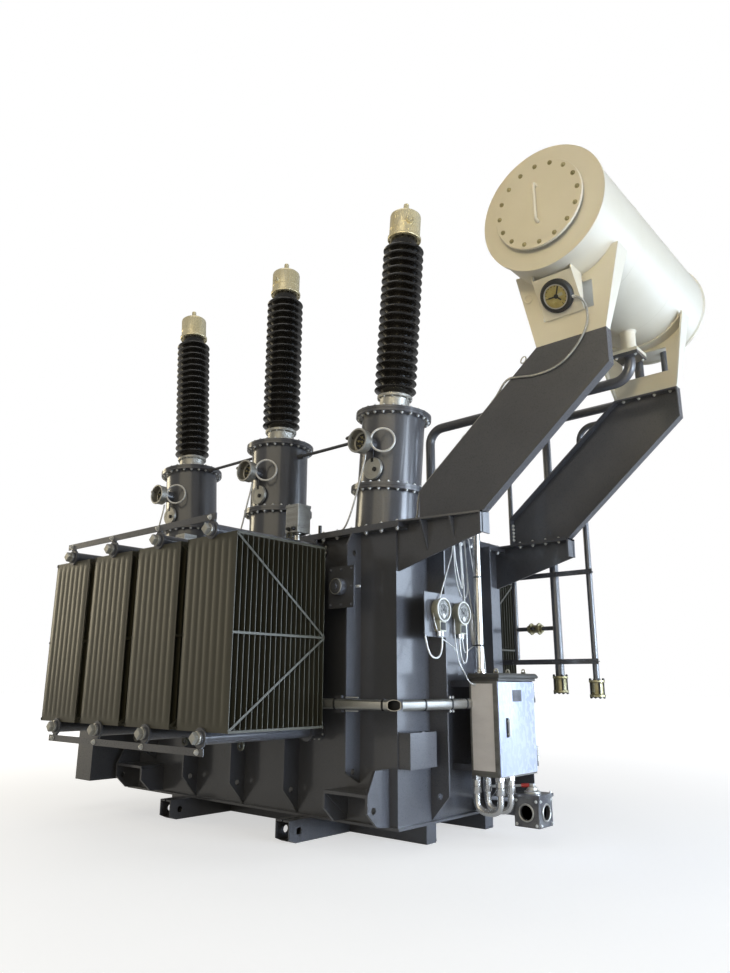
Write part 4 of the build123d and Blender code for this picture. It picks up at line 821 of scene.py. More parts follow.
ARM_END = (
    (-SHELF_INNER, ARM_TIP_LOW), (SHELF_TIP, ARM_TIP_LOW), (SHELF_TIP, COVER_Z), (-SHELF_INNER, COVER_Z),
)
arms = Shape()
for hand in BOTH:
    web = hand * ARM_Y
    arms.prism([Vector((x, web, z)) for x, z in ARM_WEB], ACROSS * hand * ARM_PLATE)
    arms.prism([Vector((x, web + hand * y, SHELF_Z)) for x, y in ARM_SHELF], UP * ARM_PLATE)
    for place, drop in ARM_GUSSETS:
        x = END_X + place
        share = (x + ARM_PLATE - ARM_NOTCH) / (ARM_TIP - ARM_NOTCH)
        reach = SHELF_OUTER + (SHELF_TIP - SHELF_OUTER) * share
        gusset = ((ARM_PLATE, 0), (reach, 0), (ARM_PLATE, -drop))
        arms.prism([Vector((x, web + hand * y, SHELF_Z + z)) for y, z in gusset], NEAR * ARM_PLATE)
    arms.prism([Vector((ARM_TIP - ARM_PLATE, web + hand * y, z)) for y, z in ARM_END], NEAR * ARM_PLATE)
show("arm_plates", arms, PAINT, "support_arms", bevel=1.5)

# Jacking brackets: end plates under the shelves, with the cheek's lower outline
JACK_OUTLINE = ((0, 360), (226, 360), (226, 268), (125, 174), (0, 174))
JACK_X = 3075 / 2 - 78 - 380
JACK_PLATE = 21
plates = Shape()
for end_hand in BOTH:
    for hand in BOTH:
        x = TANK_X + end_hand * JACK_X - JACK_PLATE / 2
        plates.prism([Vector((x, hand * (y - FRONT_Y), z)) for y, z in JACK_OUTLINE], NEAR * JACK_PLATE)
show("jack_end_plates", plates, PAINT, bevel=2)

# Oil level gauge: dark case and bezel, yellow face with a pointer
GAUGE = station(1378, -60, 3327)
GAUGE_TILT = math.radians(35)
GAUGE_OUT = Vector((0, -math.cos(GAUGE_TILT), -math.sin(GAUGE_TILT)))
gauge_side, gauge_rise = across(GAUGE_OUT)
hub = GAUGE + GAUGE_OUT * 34.5


def on_dial(degrees, reach):
    turn = math.radians(degrees)
    return hub + (gauge_side * math.cos(turn) + gauge_rise * math.sin(turn)) * reach


turned("gauge_case", GAUGE, GAUGE_OUT, [
    (0, 0), (105.5, 0), (107.5, 3), (107.5, 26), (104, 30), (100, 38), (95, 43), (80, 44), (78, 41),
    (77, 32), (0, 32),
], 64, RUBBER, "oil_level_gauge")
turned("gauge_ring", GAUGE, GAUGE_OUT, [(78.5, 42.5), (78.5, 44.5), (73.5, 45), (71.5, 42.5)], 64, ALLOY)
turned("gauge_face", GAUGE, GAUGE_OUT, [(76.5, 32.2), (75.5, 33.5), (50, 34), (0, 34)], 48, YELLOW)
shape = Shape()
shape.lathe(hub, GAUGE_OUT, [(15, 0), (13, 4), (0, 4)], 20)
for degrees, reach in ((62, 66), (180, 52), (-48, 40)):
    shape.bar(hub, on_dial(degrees, reach), 9, 3, GAUGE_OUT)
for step in range(13):
    degrees = -60 + 20 * step
    shape.bar(on_dial(degrees, 56 if step % 6 == 0 else 62), on_dial(degrees, 69), 4, 1, GAUGE_OUT)
show("gauge_pointer", shape, RUBBER)
shape = Shape()
shape.bar(on_dial(8, 16), on_dial(8, 46), 20, 2, GAUGE_OUT)
show("gauge_plate", shape, CASE)
gauge_screws = ring_places(GAUGE + GAUGE_OUT * 30, GAUGE_OUT, 95.5, 8, 0.2)
bolts("gauge_screws", [(seat, GAUGE_OUT) for seat in gauge_screws], 5)

# Gauge conduit: down the near support's edge to the cover
RAIL = 0.8345
RAIL_WAY = Vector((1, 0, RAIL)).normalized()


def on_rail(x, lift, y=60):
    return station(x, y, 2253 + (x - 185) * RAIL + lift)


gauge_end, cover_end = station(1481, -57, 3284), station(-120, 60, 2042)
tube("gauge_hose", [
    gauge_end, station(1550, -50, 3262),
    *stations((1532, 26, 3120), (1440, 26, 2980), (1310, 26, 2885), (1150, 26, 2868), (1030, 26, 2890)),
    on_rail(930, 32, 26), on_rail(830, 16), on_rail(740, 16), on_rail(350, 16), on_rail(260, 16),
    *stations((155, 60, 2240), (150, 60, 2042), (60, 60, 2042)), cover_end,
], 8, STEEL, "gauge_conduit", ridge=1.2, pitch=7, sides=10)
shape = Shape()
gland_way = (gauge_end - station(1440, -70, 3310)).normalized()
shape.lathe(gauge_end - gland_way * 30, gland_way, [(14, 0), (14, 22), (11, 26), (11, 40)], 6)
shape.lathe(cover_end, -NEAR, [(0, -20), (13, -20), (13, 12), (10, 16), (0, 16)], 6)
for x in (800, 560, 320):
    clip = on_rail(x, 16)
    shape.lathe(clip - RAIL_WAY * 12, RAIL_WAY, [(8.8, 0), (10.5, 0), (10.5, 24), (8.8, 24)], 14)
    shape.box((-11, 0, -17.5), (11, 32, -14.5), at(clip))
show("conduit_clips", shape, ZINC)

# Thermometers: cases with bezels, faces, terminal boxes, glands and their leads
THERMS = ((269, 1429), (524, 1422))
THERM_CASE = [
    (0, 0), (73, 0), (75, 3), (75, 30), (78, 34), (78, 40), (83, 43), (83, 59), (81, 62), (74, 62),
    (72, 59), (72, 53), (0, 53),
]
MARK_STEPS, MARK_SWEEP, MARK_START = 22, 270, 225
faces, marks, cases, boxes, glands, bright = Shape(), Shape(), Shape(), Shape(), Shape(), Shape()
for y, z in THERMS:
    back = station(156, y, z)
    cases.lathe(back, NEAR, THERM_CASE, 56)
    faces.lathe(back, NEAR, [(71.5, 53.5), (70.5, 55), (0, 55)], 48)
    bright.lathe(back - UP * 44, NEAR, [(18, 54), (18, 58), (15, 60), (0, 60)], 24)
    bright.lathe(back, NEAR, [(83, 56), (83.5, 62.5), (74, 63.5), (72.5, 59)], 56)
    bright.lathe(back, NEAR, [(48, 55.2), (48, 56), (45.5, 56), (45.5, 55.2)], 40)
    for step in range(MARK_STEPS + 1):
        t = math.radians(MARK_START - MARK_SWEEP * step / MARK_STEPS)
        out = Vector((0, math.cos(t), math.sin(t)))
        long = 10 if step % 2 == 0 else 6
        mark_foot = back + NEAR * 55.2 + out * (63 - long)
        bright.bar(mark_foot, mark_foot + out * long, 1.6, 0.5, NEAR)
    pivot = back + NEAR * 55.5
    for turn, reach in ((2.5, 50), (0.9, 42)):
        out = Vector((0, math.cos(turn), math.sin(turn)))
        marks.bar(pivot - out * 12, pivot + out * reach, 3.2, 1.2, NEAR)
    marks.lathe(pivot, NEAR, [(7, 0), (6, 3), (0, 3)], 16)
    boxes.box((0, -36, -150), (48, 36, -68), at(back))
    marks.box((48.5, -29, -141), (50.5, 29, -88), at(back))
    for shift in (-18, 18):
        seat = back + Vector((24, shift, -150))
        glands.lathe(seat, -UP, [(14.5, -2), (14.5, 12), (12.5, 14), (12.5, 18)], 6)
        glands.lathe(seat, -UP, [(13.5, 18), (13.5, 30), (9, 36), (0, 36)], 12)
for word, shape, material in (
    ("cases", cases, CASE), ("faces", faces, FACE), ("marks", marks, RUBBER), ("boxes", boxes, CASE),
    ("glands", glands, ZINC), ("rings", bright, DIAL),
):
    show(f"thermometer_{word}", shape, material, "thermometers")
LEADS = (
    (6.5, ((180, 287, 1245), (180, 289, 1190), (180, 264, 1112), (180, 205, 1090), (172, 150, 1112),
           (160, 128, 1190), (147, 126, 1268))),
    (5.0, ((170, 280, 1500), (168, 298, 1545), (150, 420, 1740), (125, 535, 1905), (104, 562, 1996))),
    (5.0, ((70, 565, 2040), (110, 565, 2044), (113, 558, 1930), (118, 562, 1720), (130, 600, 1570),
           (140, 645, 1535), (140, 690, 1580), (128, 714, 1720), (115, 708, 1930), (110, 700, 2044),
           (70, 700, 2040))),
    (5.0, ((70, 642, 2040), (110, 642, 2044), (115, 642, 1930), (125, 643, 1700), (132, 634, 1605),
           (130, 612, 1640), (120, 576, 1800), (112, 572, 1920), (110, 575, 2044), (70, 577, 2040))),
    (6.0, ((180, 506, 1245), (180, 508, 1180), (182, 518, 1105), (182, 556, 1055), (182, 596, 1100),
           (178, 604, 1250), (172, 607, 1420), (150, 628, 1560), (128, 654, 1700), (115, 656, 1930),
           (110, 656, 2044), (70, 656, 2040))),
    (3.5, ((170, 200, 1405), (176, 204, 1330), (184, 262, 1240), (187, 330, 1208), (190, 430, 1170),
           (192, 452, 1140), (194, 472, 1060), (196, 548, 985), (205, 575, 935), (222, 600, 915),
           (232, 626, 912))),
    (3.5, ((170, 460, 1378), (176, 450, 1320), (182, 446, 1240), (188, 450, 1175), (194, 462, 1080),
           (199, 540, 992), (208, 566, 938), (225, 596, 924), (235, 626, 922))),
    (4.0, ((70, 775, 2040), (108, 775, 2044), (118, 778, 1930), (172, 796, 1500), (205, 794, 1120),
           (215, 786, 1000))),
)
leads = Shape()
for radius, route in LEADS:
    leads.tube(stations(*route), radius, sides=10)
show("thermometer_leads", leads, LEAD)

# Spare length of a capillary: an uneven hank beside the riser, with its tie
HANK_TURNS, HANK_STEPS = 6, 8
HANK_START = ((180, 542, 1245), (181, 546, 1190), (182, 566, 1140), (176, 600, 1150))
HANK_END = ((168, 706, 1440), (140, 712, 1580), (120, 720, 1750), (112, 722, 1930), (110, 722, 2044),
            (70, 722, 2040))
TIE_Z = 1199
TIE = ((246, 712), (222, 682), (170, 712), (140, 726), (142, 752), (180, 752), (228, 750), (248, 716))
hank = []
for step in range(HANK_TURNS * HANK_STEPS + 1):
    turn = 2 * math.pi * step / HANK_STEPS - 0.6 * math.pi
    wide = 34 + 5 * math.sin(step * 1.7)
    tall = 120 + 9 * math.sin(step * 0.9 + 1.0)
    lift = tall * math.sin(turn)
    hank.append((148 + 5 * step / HANK_STEPS, 720 + wide * math.cos(turn) - 0.15 * lift, 1315 + lift))
tube("capillary_hank", stations(*HANK_START, *hank, *HANK_END), 4.5, LEAD, sides=8)
tube("hank_tie", [station(x, y, TIE_Z) for x, y in TIE], 3, RUBBER, sides=8)

# Control cabinet: door with a pressed field, handle and hinges, roof with lugs, frame strips and a strip of
# painted shadow, hoses, riser
DOOR_X, DOOR_LEFT, DOOR_RIGHT, DOOR_LOW, DOOR_HIGH = 1162, -80, 435, 456, 1088
DOOR_STEPS = ((0, 0), (4, 0), (4, 16), (6.5, 21))
DOOR_HANDLE = Vector((DOOR_X + 6.5, DOOR_LEFT + 105, 775))
HINGE_X, HINGE_Y = 1164, 449
rings = []
for depth, inset in DOOR_STEPS:
    x, left, right = DOOR_X + depth, DOOR_LEFT + inset, DOOR_RIGHT - inset
    low, high = DOOR_LOW + inset, DOOR_HIGH - inset
    corners = ((x, left, low), (x, right, low), (x, right, high), (x, left, high))
    rings.append([Vector(corner) for corner in corners])
shape = Shape()
shape.loft(rings)
show("door_panel", shape, FILM, "cabinet_door", 1.2, "cabinet_door")
# Black plate behind the handle bar: a real base plate, and its black is the painted shadow of the bar on the
# door
plate_low, plate_high = DOOR_HANDLE + Vector((0, -16, -66)), DOOR_HANDLE + Vector((6, 14, 66))
block("handle_plate_painted_shadow", plate_low, plate_high, RUBBER, "cabinet_door", 2, "cabinet_door")
shape = Shape()
shape.box((12, -8, -58), (26, 10, 58), at(DOOR_HANDLE))
for rise in (44, -44):
    shape.lathe(DOOR_HANDLE + Vector((0, 1, rise)), NEAR, [(8, 4), (8, 14), (0, 14)], 20)
show("door_handle", shape, DIAL, "cabinet_door", 2, "cabinet_door")
shape = Shape()
for hinge in (560, 1008):
    shape.lathe(Vector((HINGE_X, HINGE_Y, hinge)), UP, [
        (5.6, 0), (8.5, 0), (9, 0.6), (9, 69.4), (8.5, 70), (5.6, 70), (5.6, 0),
    ], 24)
    shape.box((1162.2, 418, hinge + 4), (1165.8, 444, hinge + 66))
show("door_knuckles", shape, STEEL, "cabinet_door", body="cabinet_door")
plate_low, plate_high = (DOOR_X + 6, DOOR_LEFT + 192, 950), (DOOR_X + 7.8, DOOR_LEFT + 322, 1032)
block("door_plate", plate_low, plate_high, CASTING, bevel=0.6, body="cabinet_door")

ROOF_BACK, ROOF_FRONT, ROOF_LEFT, ROOF_RIGHT, ROOF_TOP = 932, 1194, -108, 463, 1148
ROOF_STEPS = (
    (1094, 24), (1094, 18), (1112, 18), (1113.5, 6), (1120, 0), (1128, 0), (1142, 9), (ROOF_TOP, 18),
)
rings = []
for z, inset in ROOF_STEPS:
    left, right, front = ROOF_LEFT + inset, ROOF_RIGHT - inset, ROOF_FRONT - inset
    corners = ((ROOF_BACK, left, z), (front, left, z), (front, right, z), (ROOF_BACK, right, z))
    rings.append([Vector(corner) for corner in corners])
shape = Shape()
shape.loft(rings)
show("roof_sheet", shape, TRIM, "cabinet_roof", 1.5)
lugs = Shape()
for lug_x in (985, 1120):
    for lug_y in (-20, 375):
        lug = Vector((lug_x, lug_y, ROOF_TOP))
        lugs.box((-20, -3, -1), (20, 3, 12), at(lug))
        lugs.lathe(lug + Vector((0, -3, 18)), ACROSS, washer(8, 17, 6), 24)
show("roof_lugs", lugs, WHITE)
# Dark strips round the cabinet's side; the upright one beside the door, x 1124 to 1158, is painted shadow of
# the gap between side and door
FRAME_AND_SHADOW_STRIPS = (
    ((930, -83, 448), (1157, -79, 486)), ((930, 434, 448), (1157, 438.5, 486)),
    ((1142, -83, 440), (1160, 438, 452)), ((930, -84, 1076), (1158, -79, 1110)),
    ((1124, -83.5, 486), (1158, -79, 1076)), ((930, -83.5, 486), (944, -79, 1076)),
    ((930, 434, 1076), (1150, 438.5, 1110)), ((1128, -86, 470), (1150, -82, 500)),
)
strips = Shape()
for low, high in FRAME_AND_SHADOW_STRIPS:
    strips.box(low, high)
show("cabinet_frame_and_shadow_strips", strips, STRIP, bevel=0.8)
HOSE_Y = (640, 780)
HOSE = ((390, 292), (390, 190), (388, 92), (340, 66), (295, 62), (250, 66), (202, 92), (200, 190), (200, 292))
hoses, nuts = Shape(), Shape()
for y in HOSE_Y:
    hoses.tube([station(x, y, z) for x, z in HOSE], 23.5, 0.3, 8, 20)
    for x in (200, 390):
        seat = station(x, y, 301)
        nuts.lathe(seat, -UP, [(36, 0), (36, 24), (33, 27), (33, 30)], 6)
        nuts.lathe(seat, -UP, [(30.5, 30), (30.5, 66), (27.5, 69), (27.5, 74)], 28)
        nuts.lathe(seat, -UP, [(32.5, 74), (32.5, 112), (28.5, 118), (22, 118)], 28)
show("cabinet_hose_runs", hoses, POLISH, "cabinet_hoses")
show("hose_glands", nuts, POLISH)
riser_foot = station(215, 717, 998)
couplings, bands = Shape(), Shape()
couplings.lathe(riser_foot, UP, [(46, 0), (46, 8), (36, 10), (36, 30), (33, 34), (29, 34)], 32)
couplings.lathe(riser_foot + UP * 980, UP, [(29.5, 0), (33.5, 1), (33.5, 7), (29.5, 8)], 32)
for height in (195, 700):
    bands.lathe(riser_foot + UP * height, UP, [(29.2, 0), (31.5, 1), (31.5, 11), (29.2, 12)], 32)
show("riser_couplings", couplings, POLISH)
show("riser_bands", bands, RUBBER)

# Radiator valves: flange bolts and butterfly levers
VALVE_FLANGES = ((16, 1), (114, -1))
VALVE_STEM = 65
valve_bolts = []
levers = Shape()
for sign in BOTH:
    away = ACROSS * sign
    for x in RADIATOR_X:
        for height in HEADERS:
            middle = Vector((x, sign * -FRONT_Y, height))
            for reach, way in VALVE_FLANGES:
                seats = ring_places(middle + away * reach, away, 61.5, 8, 0.39)
                valve_bolts += [(seat, away * way) for seat in seats]
            stem = middle + away * VALVE_STEM
            grip = stem + UP * 86
            levers.lathe(stem, UP, [(14, 50), (14, 75), (9, 78), (9, 94), (0, 94)], 14)
            levers.bar(grip, grip + Vector((75, 0, 6)), 14, 5, UP)
bolts("valve_bolts", valve_bolts, 7.5)
show("valve_levers", levers, PAINT)

# Cable ducts: flat-oval runs with slanted ends at the tank's corner, straps and saddle clamps on the ribs
DUCT_HALF_HEIGHT, DUCT_HALF_DEPTH, DUCT_WALL = 36, 25, 4
DUCT_Z, DUCT_FRONT, DUCT_END = 786, -175, 175
STRAP_WIDTH, STRAP_LOW, STRAP_HIGH = 16, 0.5, 3


def oval_row(centre, run, swell, slant=0.0):
    """Ring of points round a flat-oval duct, sheared along its run for a slanted end."""
    flat = UP.cross(run)
    straight = DUCT_HALF_HEIGHT - DUCT_HALF_DEPTH
    radius = DUCT_HALF_DEPTH + swell
    row = []
    for t in turns(32, math.pi / 32):
        aside = math.cos(t) * radius
        lift = math.sin(t) * radius + math.copysign(straight, math.sin(t))
        row.append(centre + run * aside * slant + flat * aside + UP * lift)
    return row


def strap(shape, centre, run):
    """Band round a flat-oval duct."""
    half = STRAP_WIDTH / 2
    ends = ((-half, STRAP_LOW), (-half, STRAP_HIGH), (half, STRAP_HIGH), (half, STRAP_LOW))
    shape.grid([oval_row(centre + run * reach, run, swell) for reach, swell in ends])


DUCTS = (
    (station(-1000, DUCT_FRONT, DUCT_Z), station(112, DUCT_FRONT, DUCT_Z), 0, 1.66),
    (station(DUCT_END, -162, DUCT_Z), station(DUCT_END, 620, DUCT_Z), 1.3, 0),
)
duct_runs, duct_bores_painted_shade, straps = Shape(), Shape(), Shape()
for start, end, start_slant, end_slant in DUCTS:
    run = (end - start).normalized()
    mouths = ((start, start_slant), (end, end_slant))
    skin = [oval_row(place, run, 0, slant) for place, slant in mouths]
    bore = [oval_row(place, run, -DUCT_WALL, slant) for place, slant in mouths]
    duct_runs.grid([bore[0], skin[0], skin[1], bore[1]])
    duct_bores_painted_shade.grid(bore)
show("duct_runs", duct_runs, STEEL, "cable_ducts")
# The bores' inner walls take the dark rubber finish: painted shade inside the ducts
show("duct_bores_painted_shade", duct_bores_painted_shade, RUBBER, "cable_ducts")
for x in (-985, -560, -400, 30):
    strap(straps, station(x, DUCT_FRONT, DUCT_Z), NEAR)
for y in (60, 372, 560):
    strap(straps, station(DUCT_END, y, DUCT_Z), ACROSS)
show("duct_straps", straps, RUBBER)
clamps = Shape()
for place, low, high in (
    (station(-378, -150, DUCT_Z), (-30, -30), (30, 5)), (station(-978, -150, DUCT_Z), (-30, -30), (30, 5)),
    (station(150, 380, DUCT_Z), (-5, -30), (30, 30)),
):
    for foot_z, top_z in ((-55, -38), (38, 55)):
        clamps.box((*low, foot_z), (*high, top_z), at(place))
show("duct_clamps", clamps, PAINT)
rods = Shape()
for height in (742, 830):
    rods.lathe(station(-332, -150, height), NEAR, [(0, 0), (5, 0), (5, 112), (4, 114), (0, 114)], 12)
rods.lathe(station(-332, -120, 1593), NEAR, [(0, 0), (11, 0), (11, 95), (9, 98), (0, 98)], 16)
show("rib_rods", rods, ZINC)
duct_bolts = [(station(182, y, DUCT_Z + side * 47), NEAR) for y in (362, 398) for side in BOTH]
bolts("duct_bolts", duct_bolts, 7, DIAL)

# Junction boxes on the headers: folded lids and glands
JUNCTIONS = ((0, 265, 130, 215), (2, 400, 120, 120))
JUNCTION_Z = UPPER_HEADER + HEADER_PIPE + 48
for index, (place, reach, width, height) in enumerate(JUNCTIONS, 1):
    seat = Vector((RADIATOR_X[place], FRONT_Y - reach, JUNCTION_Z))
    half = width / 2
    lid = half + 3
    shape = Shape()
    shape.box((-half, -half, 0), (half, half, height), at(seat))
    shape.box((-lid, -lid, height - 22), (lid, lid, height + 2), at(seat))
    shape.lathe(seat - UP * 50, UP, [(20, 0), (20, 42), (34, 44), (34, 51)], 24)
    show(f"junction_box_{index}", shape, STEEL, "junction_boxes", 2.5)
    shape = Shape()
    for shift in (-28, 28):
        gland = seat + Vector((shift, 1 - half, 30))
        shape.lathe(gland, OUT, [(15, 0), (15, 12), (11, 14), (11, 26), (6, 30), (0, 30)], 10)
    show(f"junction_glands_{index}", shape, RUBBER)

# Blanking flange and nameplate bracket: bolts, plug and tab
BLANK_X, BLANK_Z, BLANK_PITCH_X, BLANK_PITCH_Z = -378, 1593, 100, 126
blank_bolts = []
for column in (-1, 0, 1):
    for row in (-1, 0, 1):
        if (column, row) != (0, 0):
            seat = station(BLANK_X + column * BLANK_PITCH_X, -166, BLANK_Z + row * BLANK_PITCH_Z)
            blank_bolts.append((seat, OUT))
bolts("blanking_bolts", blank_bolts, 11, PAINT)
blank_face = station(BLANK_X, -221, BLANK_Z)
turned("blanking_plug", blank_face, OUT, [(50, -4), (50, 4), (44, 7), (22, 7), (22, 18), (0, 18)], 36, PAINT)
turned("blanking_rim", blank_face, OUT, [
    (52, -16), (57, -14), (58.5, -4), (57, 5), (52.5, 6), (52, -16),
], 40, ALLOY)
block("nameplate_tab", station(72, 150, 599), station(98, 176, 611), PAINT)

# Oil pipe: bolts of its square and round flanges, neck flange, relay cover and windows
PIPE_Y, PIPE_Z = 1000, 3085
neck_end = station(1415, PIPE_Y, 3290)
pipe_bolts = []
for shift_x in (-70, 70):
    for shift_y in (-70, 70):
        pipe_bolts.append((neck_end + Vector((shift_x, shift_y, 0)), UP))
        pipe_bolts.append((neck_end + Vector((shift_x, shift_y, -48)), -UP))
for reach, way in ((420, -1), (440, 1), (700, -1), (720, 1)):
    seats = ring_places(station(reach, PIPE_Y, PIPE_Z), NEAR, 64, 6, 0.5)
    pipe_bolts += [(seat, NEAR * way) for seat in seats]
pipe_bolts += [(seat, UP) for seat in ring_places(station(-400, PIPE_Y, 2058), UP, 66, 6)]
bolts("pipe_bolts", pipe_bolts, 10)
block("neck_flange", neck_end + Vector((-92, -92, -24.5)), neck_end + Vector((92, 92, 0.5)), WHITE, bevel=2)
relay = station(570, PIPE_Y, PIPE_Z)
shape = Shape()
shape.box((-104, -104, 112), (104, 104, 126), at(relay))
shape.lathe(relay + UP * 126, UP, [(30, 0), (30, 12), (14, 14), (14, 34), (0, 34)], 20)
show("relay_cover", shape, PAINT, bevel=3)
shape = Shape()
for hand in BOTH:
    shape.box((-45, -3, -60), (45, 3, 60), at(relay + ACROSS * hand * 101))
show("relay_windows", shape, DIAL)

# Valves on the drop pipes: flanged brass bodies held by long rods
DROP_Y = 1535
DROP_VALVES = ((440, 985), (741, 955))
DROP_VALVE = 126
DROP_TIES = (1095, 1788)
DROP_PIPES = ((440, 35), (741, 24), (66, 20))
CLIP = 5
valves, rods, clips = Shape(), Shape(), Shape()
for x, foot_z in DROP_VALVES:
    seat = station(x, DROP_Y, foot_z - DROP_VALVE)
    valves.lathe(seat, UP, [
        (0, 0), *flange(59, 0, 18), (47, 20), (44, 30), (46, 50), (46, 76), (44, 96), (47, 106),
        *flange(59, 108, DROP_VALVE), (20, DROP_VALVE),
    ], 40)
    for rod in ring_places(seat, UP, 51, 4, 0.78):
        rods.lathe(rod, UP, [(0, -12), (6.5, -12), (6.5, 140), (0, 140)], 10)
        rods.lathe(rod, UP, [(11, -9), (11, 0), (7, 0)], 6)
        rods.lathe(rod, UP, [(11, DROP_VALVE), (11, 136), (6, 136)], 6)
    rods.lathe(seat, UP, [(0, -4), (52, -4), (52, 0.5)], 32)
cross_mid = station(245.5, DROP_Y, 1362)
valves.lathe(cross_mid - NEAR * 65, NEAR, [
    (0, 0), (30, 0), (30, 20), (47, 22), (48, 36), (34, 40), (32, 56), (32, 74), (34, 90), (48, 94),
    (47, 108), (30, 110), (30, 130), (0, 130),
], 8)
rods.lathe(cross_mid, OUT, [(14, 20), (14, 55), (10, 58), (10, 75), (0, 75)], 14)
show("drop_valves", valves, VALVE, "pipe_valves")
show("drop_valve_rods", rods, RUBBER)
for tie_z in DROP_TIES:
    for x, radius in DROP_PIPES:
        middle = station(x, DROP_Y, tie_z)
        clips.ring(middle, UP, radius + CLIP, CLIP, 28, 8)
        for hand in BOTH:
            clips.bolt(middle + OUT * 43 + NEAR * hand * (radius + CLIP), OUT, 8)
show("pipe_clips", clips, PAINT)

# Drain valve: flanged casting with two bores and a wide top plate, stem with a bar and a red grip
DRAIN_Y, DRAIN_Z = 930, 62
DRAIN_BODY, DRAIN_PLATE, DRAIN_THICK, DRAIN_TOP, DRAIN_BORE = 75, 95, 24, 107.5, 48
DRAIN_FACE = DRAIN_BODY + DRAIN_THICK
DRAIN_BOLT = 77
TOP_BOLT = DRAIN_BOLT * 1.18
drain = station(475, DRAIN_Y, DRAIN_Z)
shape = Shape()
shape.lathe(station(0, DRAIN_Y, DRAIN_Z), NEAR, [
    (0, 0), (44.5, 0), (44.5, 375), (65, 375), (65, 402), (0, 402),
], 40)
shape.box((-DRAIN_BODY,) * 3, (DRAIN_BODY, DRAIN_BODY, DRAIN_PLATE + 1), at(drain))
top_low = (-DRAIN_TOP, -DRAIN_TOP, DRAIN_PLATE)
top_high = (DRAIN_TOP, DRAIN_TOP, DRAIN_PLATE + DRAIN_THICK)
rings = Shape()
for way in (OUT, NEAR):
    shape.holed_plate(drain + way * DRAIN_BODY, way, DRAIN_PLATE, DRAIN_THICK, DRAIN_BORE, 55)
    rings.lathe(drain + way * DRAIN_FACE, way, [(48.5, -6), (48.5, 6), (54, 9), (60, 5), (60, -2)], 48)
shape.box(top_low, top_high, at(drain))
show("drain_casting", shape, CASTING, "drain_valve", 3)
drain_bolts = []
for shift in BOTH:
    for rise in BOTH:
        drain_bolts += [
            (drain + Vector((shift * DRAIN_BOLT, -DRAIN_FACE, rise * DRAIN_BOLT)), OUT),
            (drain + Vector((DRAIN_FACE, shift * DRAIN_BOLT, rise * DRAIN_BOLT)), NEAR),
            (drain + Vector((shift * TOP_BOLT, rise * TOP_BOLT, DRAIN_PLATE + DRAIN_THICK)), UP),
        ]
drain_bolts += [(seat, -NEAR) for seat in ring_places(station(375, DRAIN_Y, DRAIN_Z), NEAR, 55, 6, 0.26)]
bolts("drain_bolts", drain_bolts, 10)
rings.lathe(drain, UP, [(58, 117), (58, 131), (38, 139), (32, 158), (22, 162), (22, 180), (0, 180)], 32)
show("drain_rings", rings, ALLOY)
stem = drain + UP * 170
lever = Vector((-300, -85, -24))
tube("drain_bar", [stem + lever * share for share in (-0.04, 0.2, 0.6, 1)], 9.5, ZINC)
tube("drain_grip", [stem + lever * share for share in (0.06, 0.15, 0.24)], 13.5, RED)
block("earthing_pad", (822, 430, 256), (932, 436, 370), ZINC)
bolts("earthing_bolts", [(Vector((x, 430, 313)), OUT) for x in (850, 904)], 10)

# Rails under the tank: channels along it, between and beyond the skids
RAIL_Y = (395, 1150)
RAIL_RUNS = ((-3015, -2303), (-2157, -918), (-772, -60))
RAIL_SECTION = (((0, -12), (110, -1)), ((0, -149), (110, -138)), ((0, -138), (9, -12)))
RAIL_END = 9
rails = Shape()
for y in RAIL_Y:
    for start, end in RAIL_RUNS:
        for low, high in RAIL_SECTION:
            rails.box(station(start, y + low[0], low[1]), station(end, y + high[0], high[1]))
        for x in (start, end - RAIL_END):
            rails.box(station(x, y + 9, -138), station(x + RAIL_END, y + 110, -12))
show("base_rails", rails, PAINT, bevel=2)

# Stage, in metres: pale floor, soft studio light and the camera at the photograph's angle
FLOOR_HALF = 60
FLOOR_GREYS = (0.54, 0.56, 0.58)
# Share of the background's brightness that polished surfaces mirror
MIRRORED = 0.22
WORLD_LIGHT = 0.12


def math_node(tree, operation, *values):
    """New calculation node: a number is set on its socket, an output is linked to it."""
    node = add_node(tree, "Math")
    node.operation = operation
    for socket, value in zip(node.inputs, values):
        if isinstance(value, float):
            socket.default_value = value
        else:
            tree.links.new(value, socket)
    return node.outputs["Value"]


floor_mesh = bpy.data.meshes.new("floor")
corners = [(x * FLOOR_HALF, y * FLOOR_HALF, 0) for x, y in ((-1, -1), (1, -1), (1, 1), (-1, 1))]
floor_mesh.from_pydata(corners, [], [(0, 1, 2, 3)])
floor = bpy.data.objects.new("floor", floor_mesh)
bpy.context.scene.collection.objects.link(floor)
greys = [(grey,) * 3 for grey in FLOOR_GREYS]
pale = surface("pale_floor", greys, (0.6, 0.8), 20, 0.02, (0.3, 0.5, 0.7), blotch=0.5)
floor_mesh.materials.append(pale)
glow = pale.node_tree
floor_shader = glow.nodes["Principled BSDF"]
floor_coords = add_node(glow, "TexCoord")
distance = add_node(glow, "VectorMath")
distance.operation = "LENGTH"
fade = add_node(glow, "MapRange", From_Min=2.0, From_Max=12.0, To_Min=0.58, To_Max=1.0)
rays = add_node(glow, "LightPath").outputs
glow.links.new(floor_coords.outputs["Object"], distance.inputs[0])
glow.links.new(distance.outputs["Value"], fade.inputs["Value"])
shares = math_node(glow, "MULTIPLY_ADD", rays["Is Glossy Ray"], MIRRORED, rays["Is Camera Ray"])
shown = math_node(glow, "MULTIPLY", fade.outputs["Result"], shares)
glow.links.new(shown, floor_shader.inputs["Emission Strength"])
floor_shader.inputs["Emission Color"].default_value = (1, 1, 1, 1)
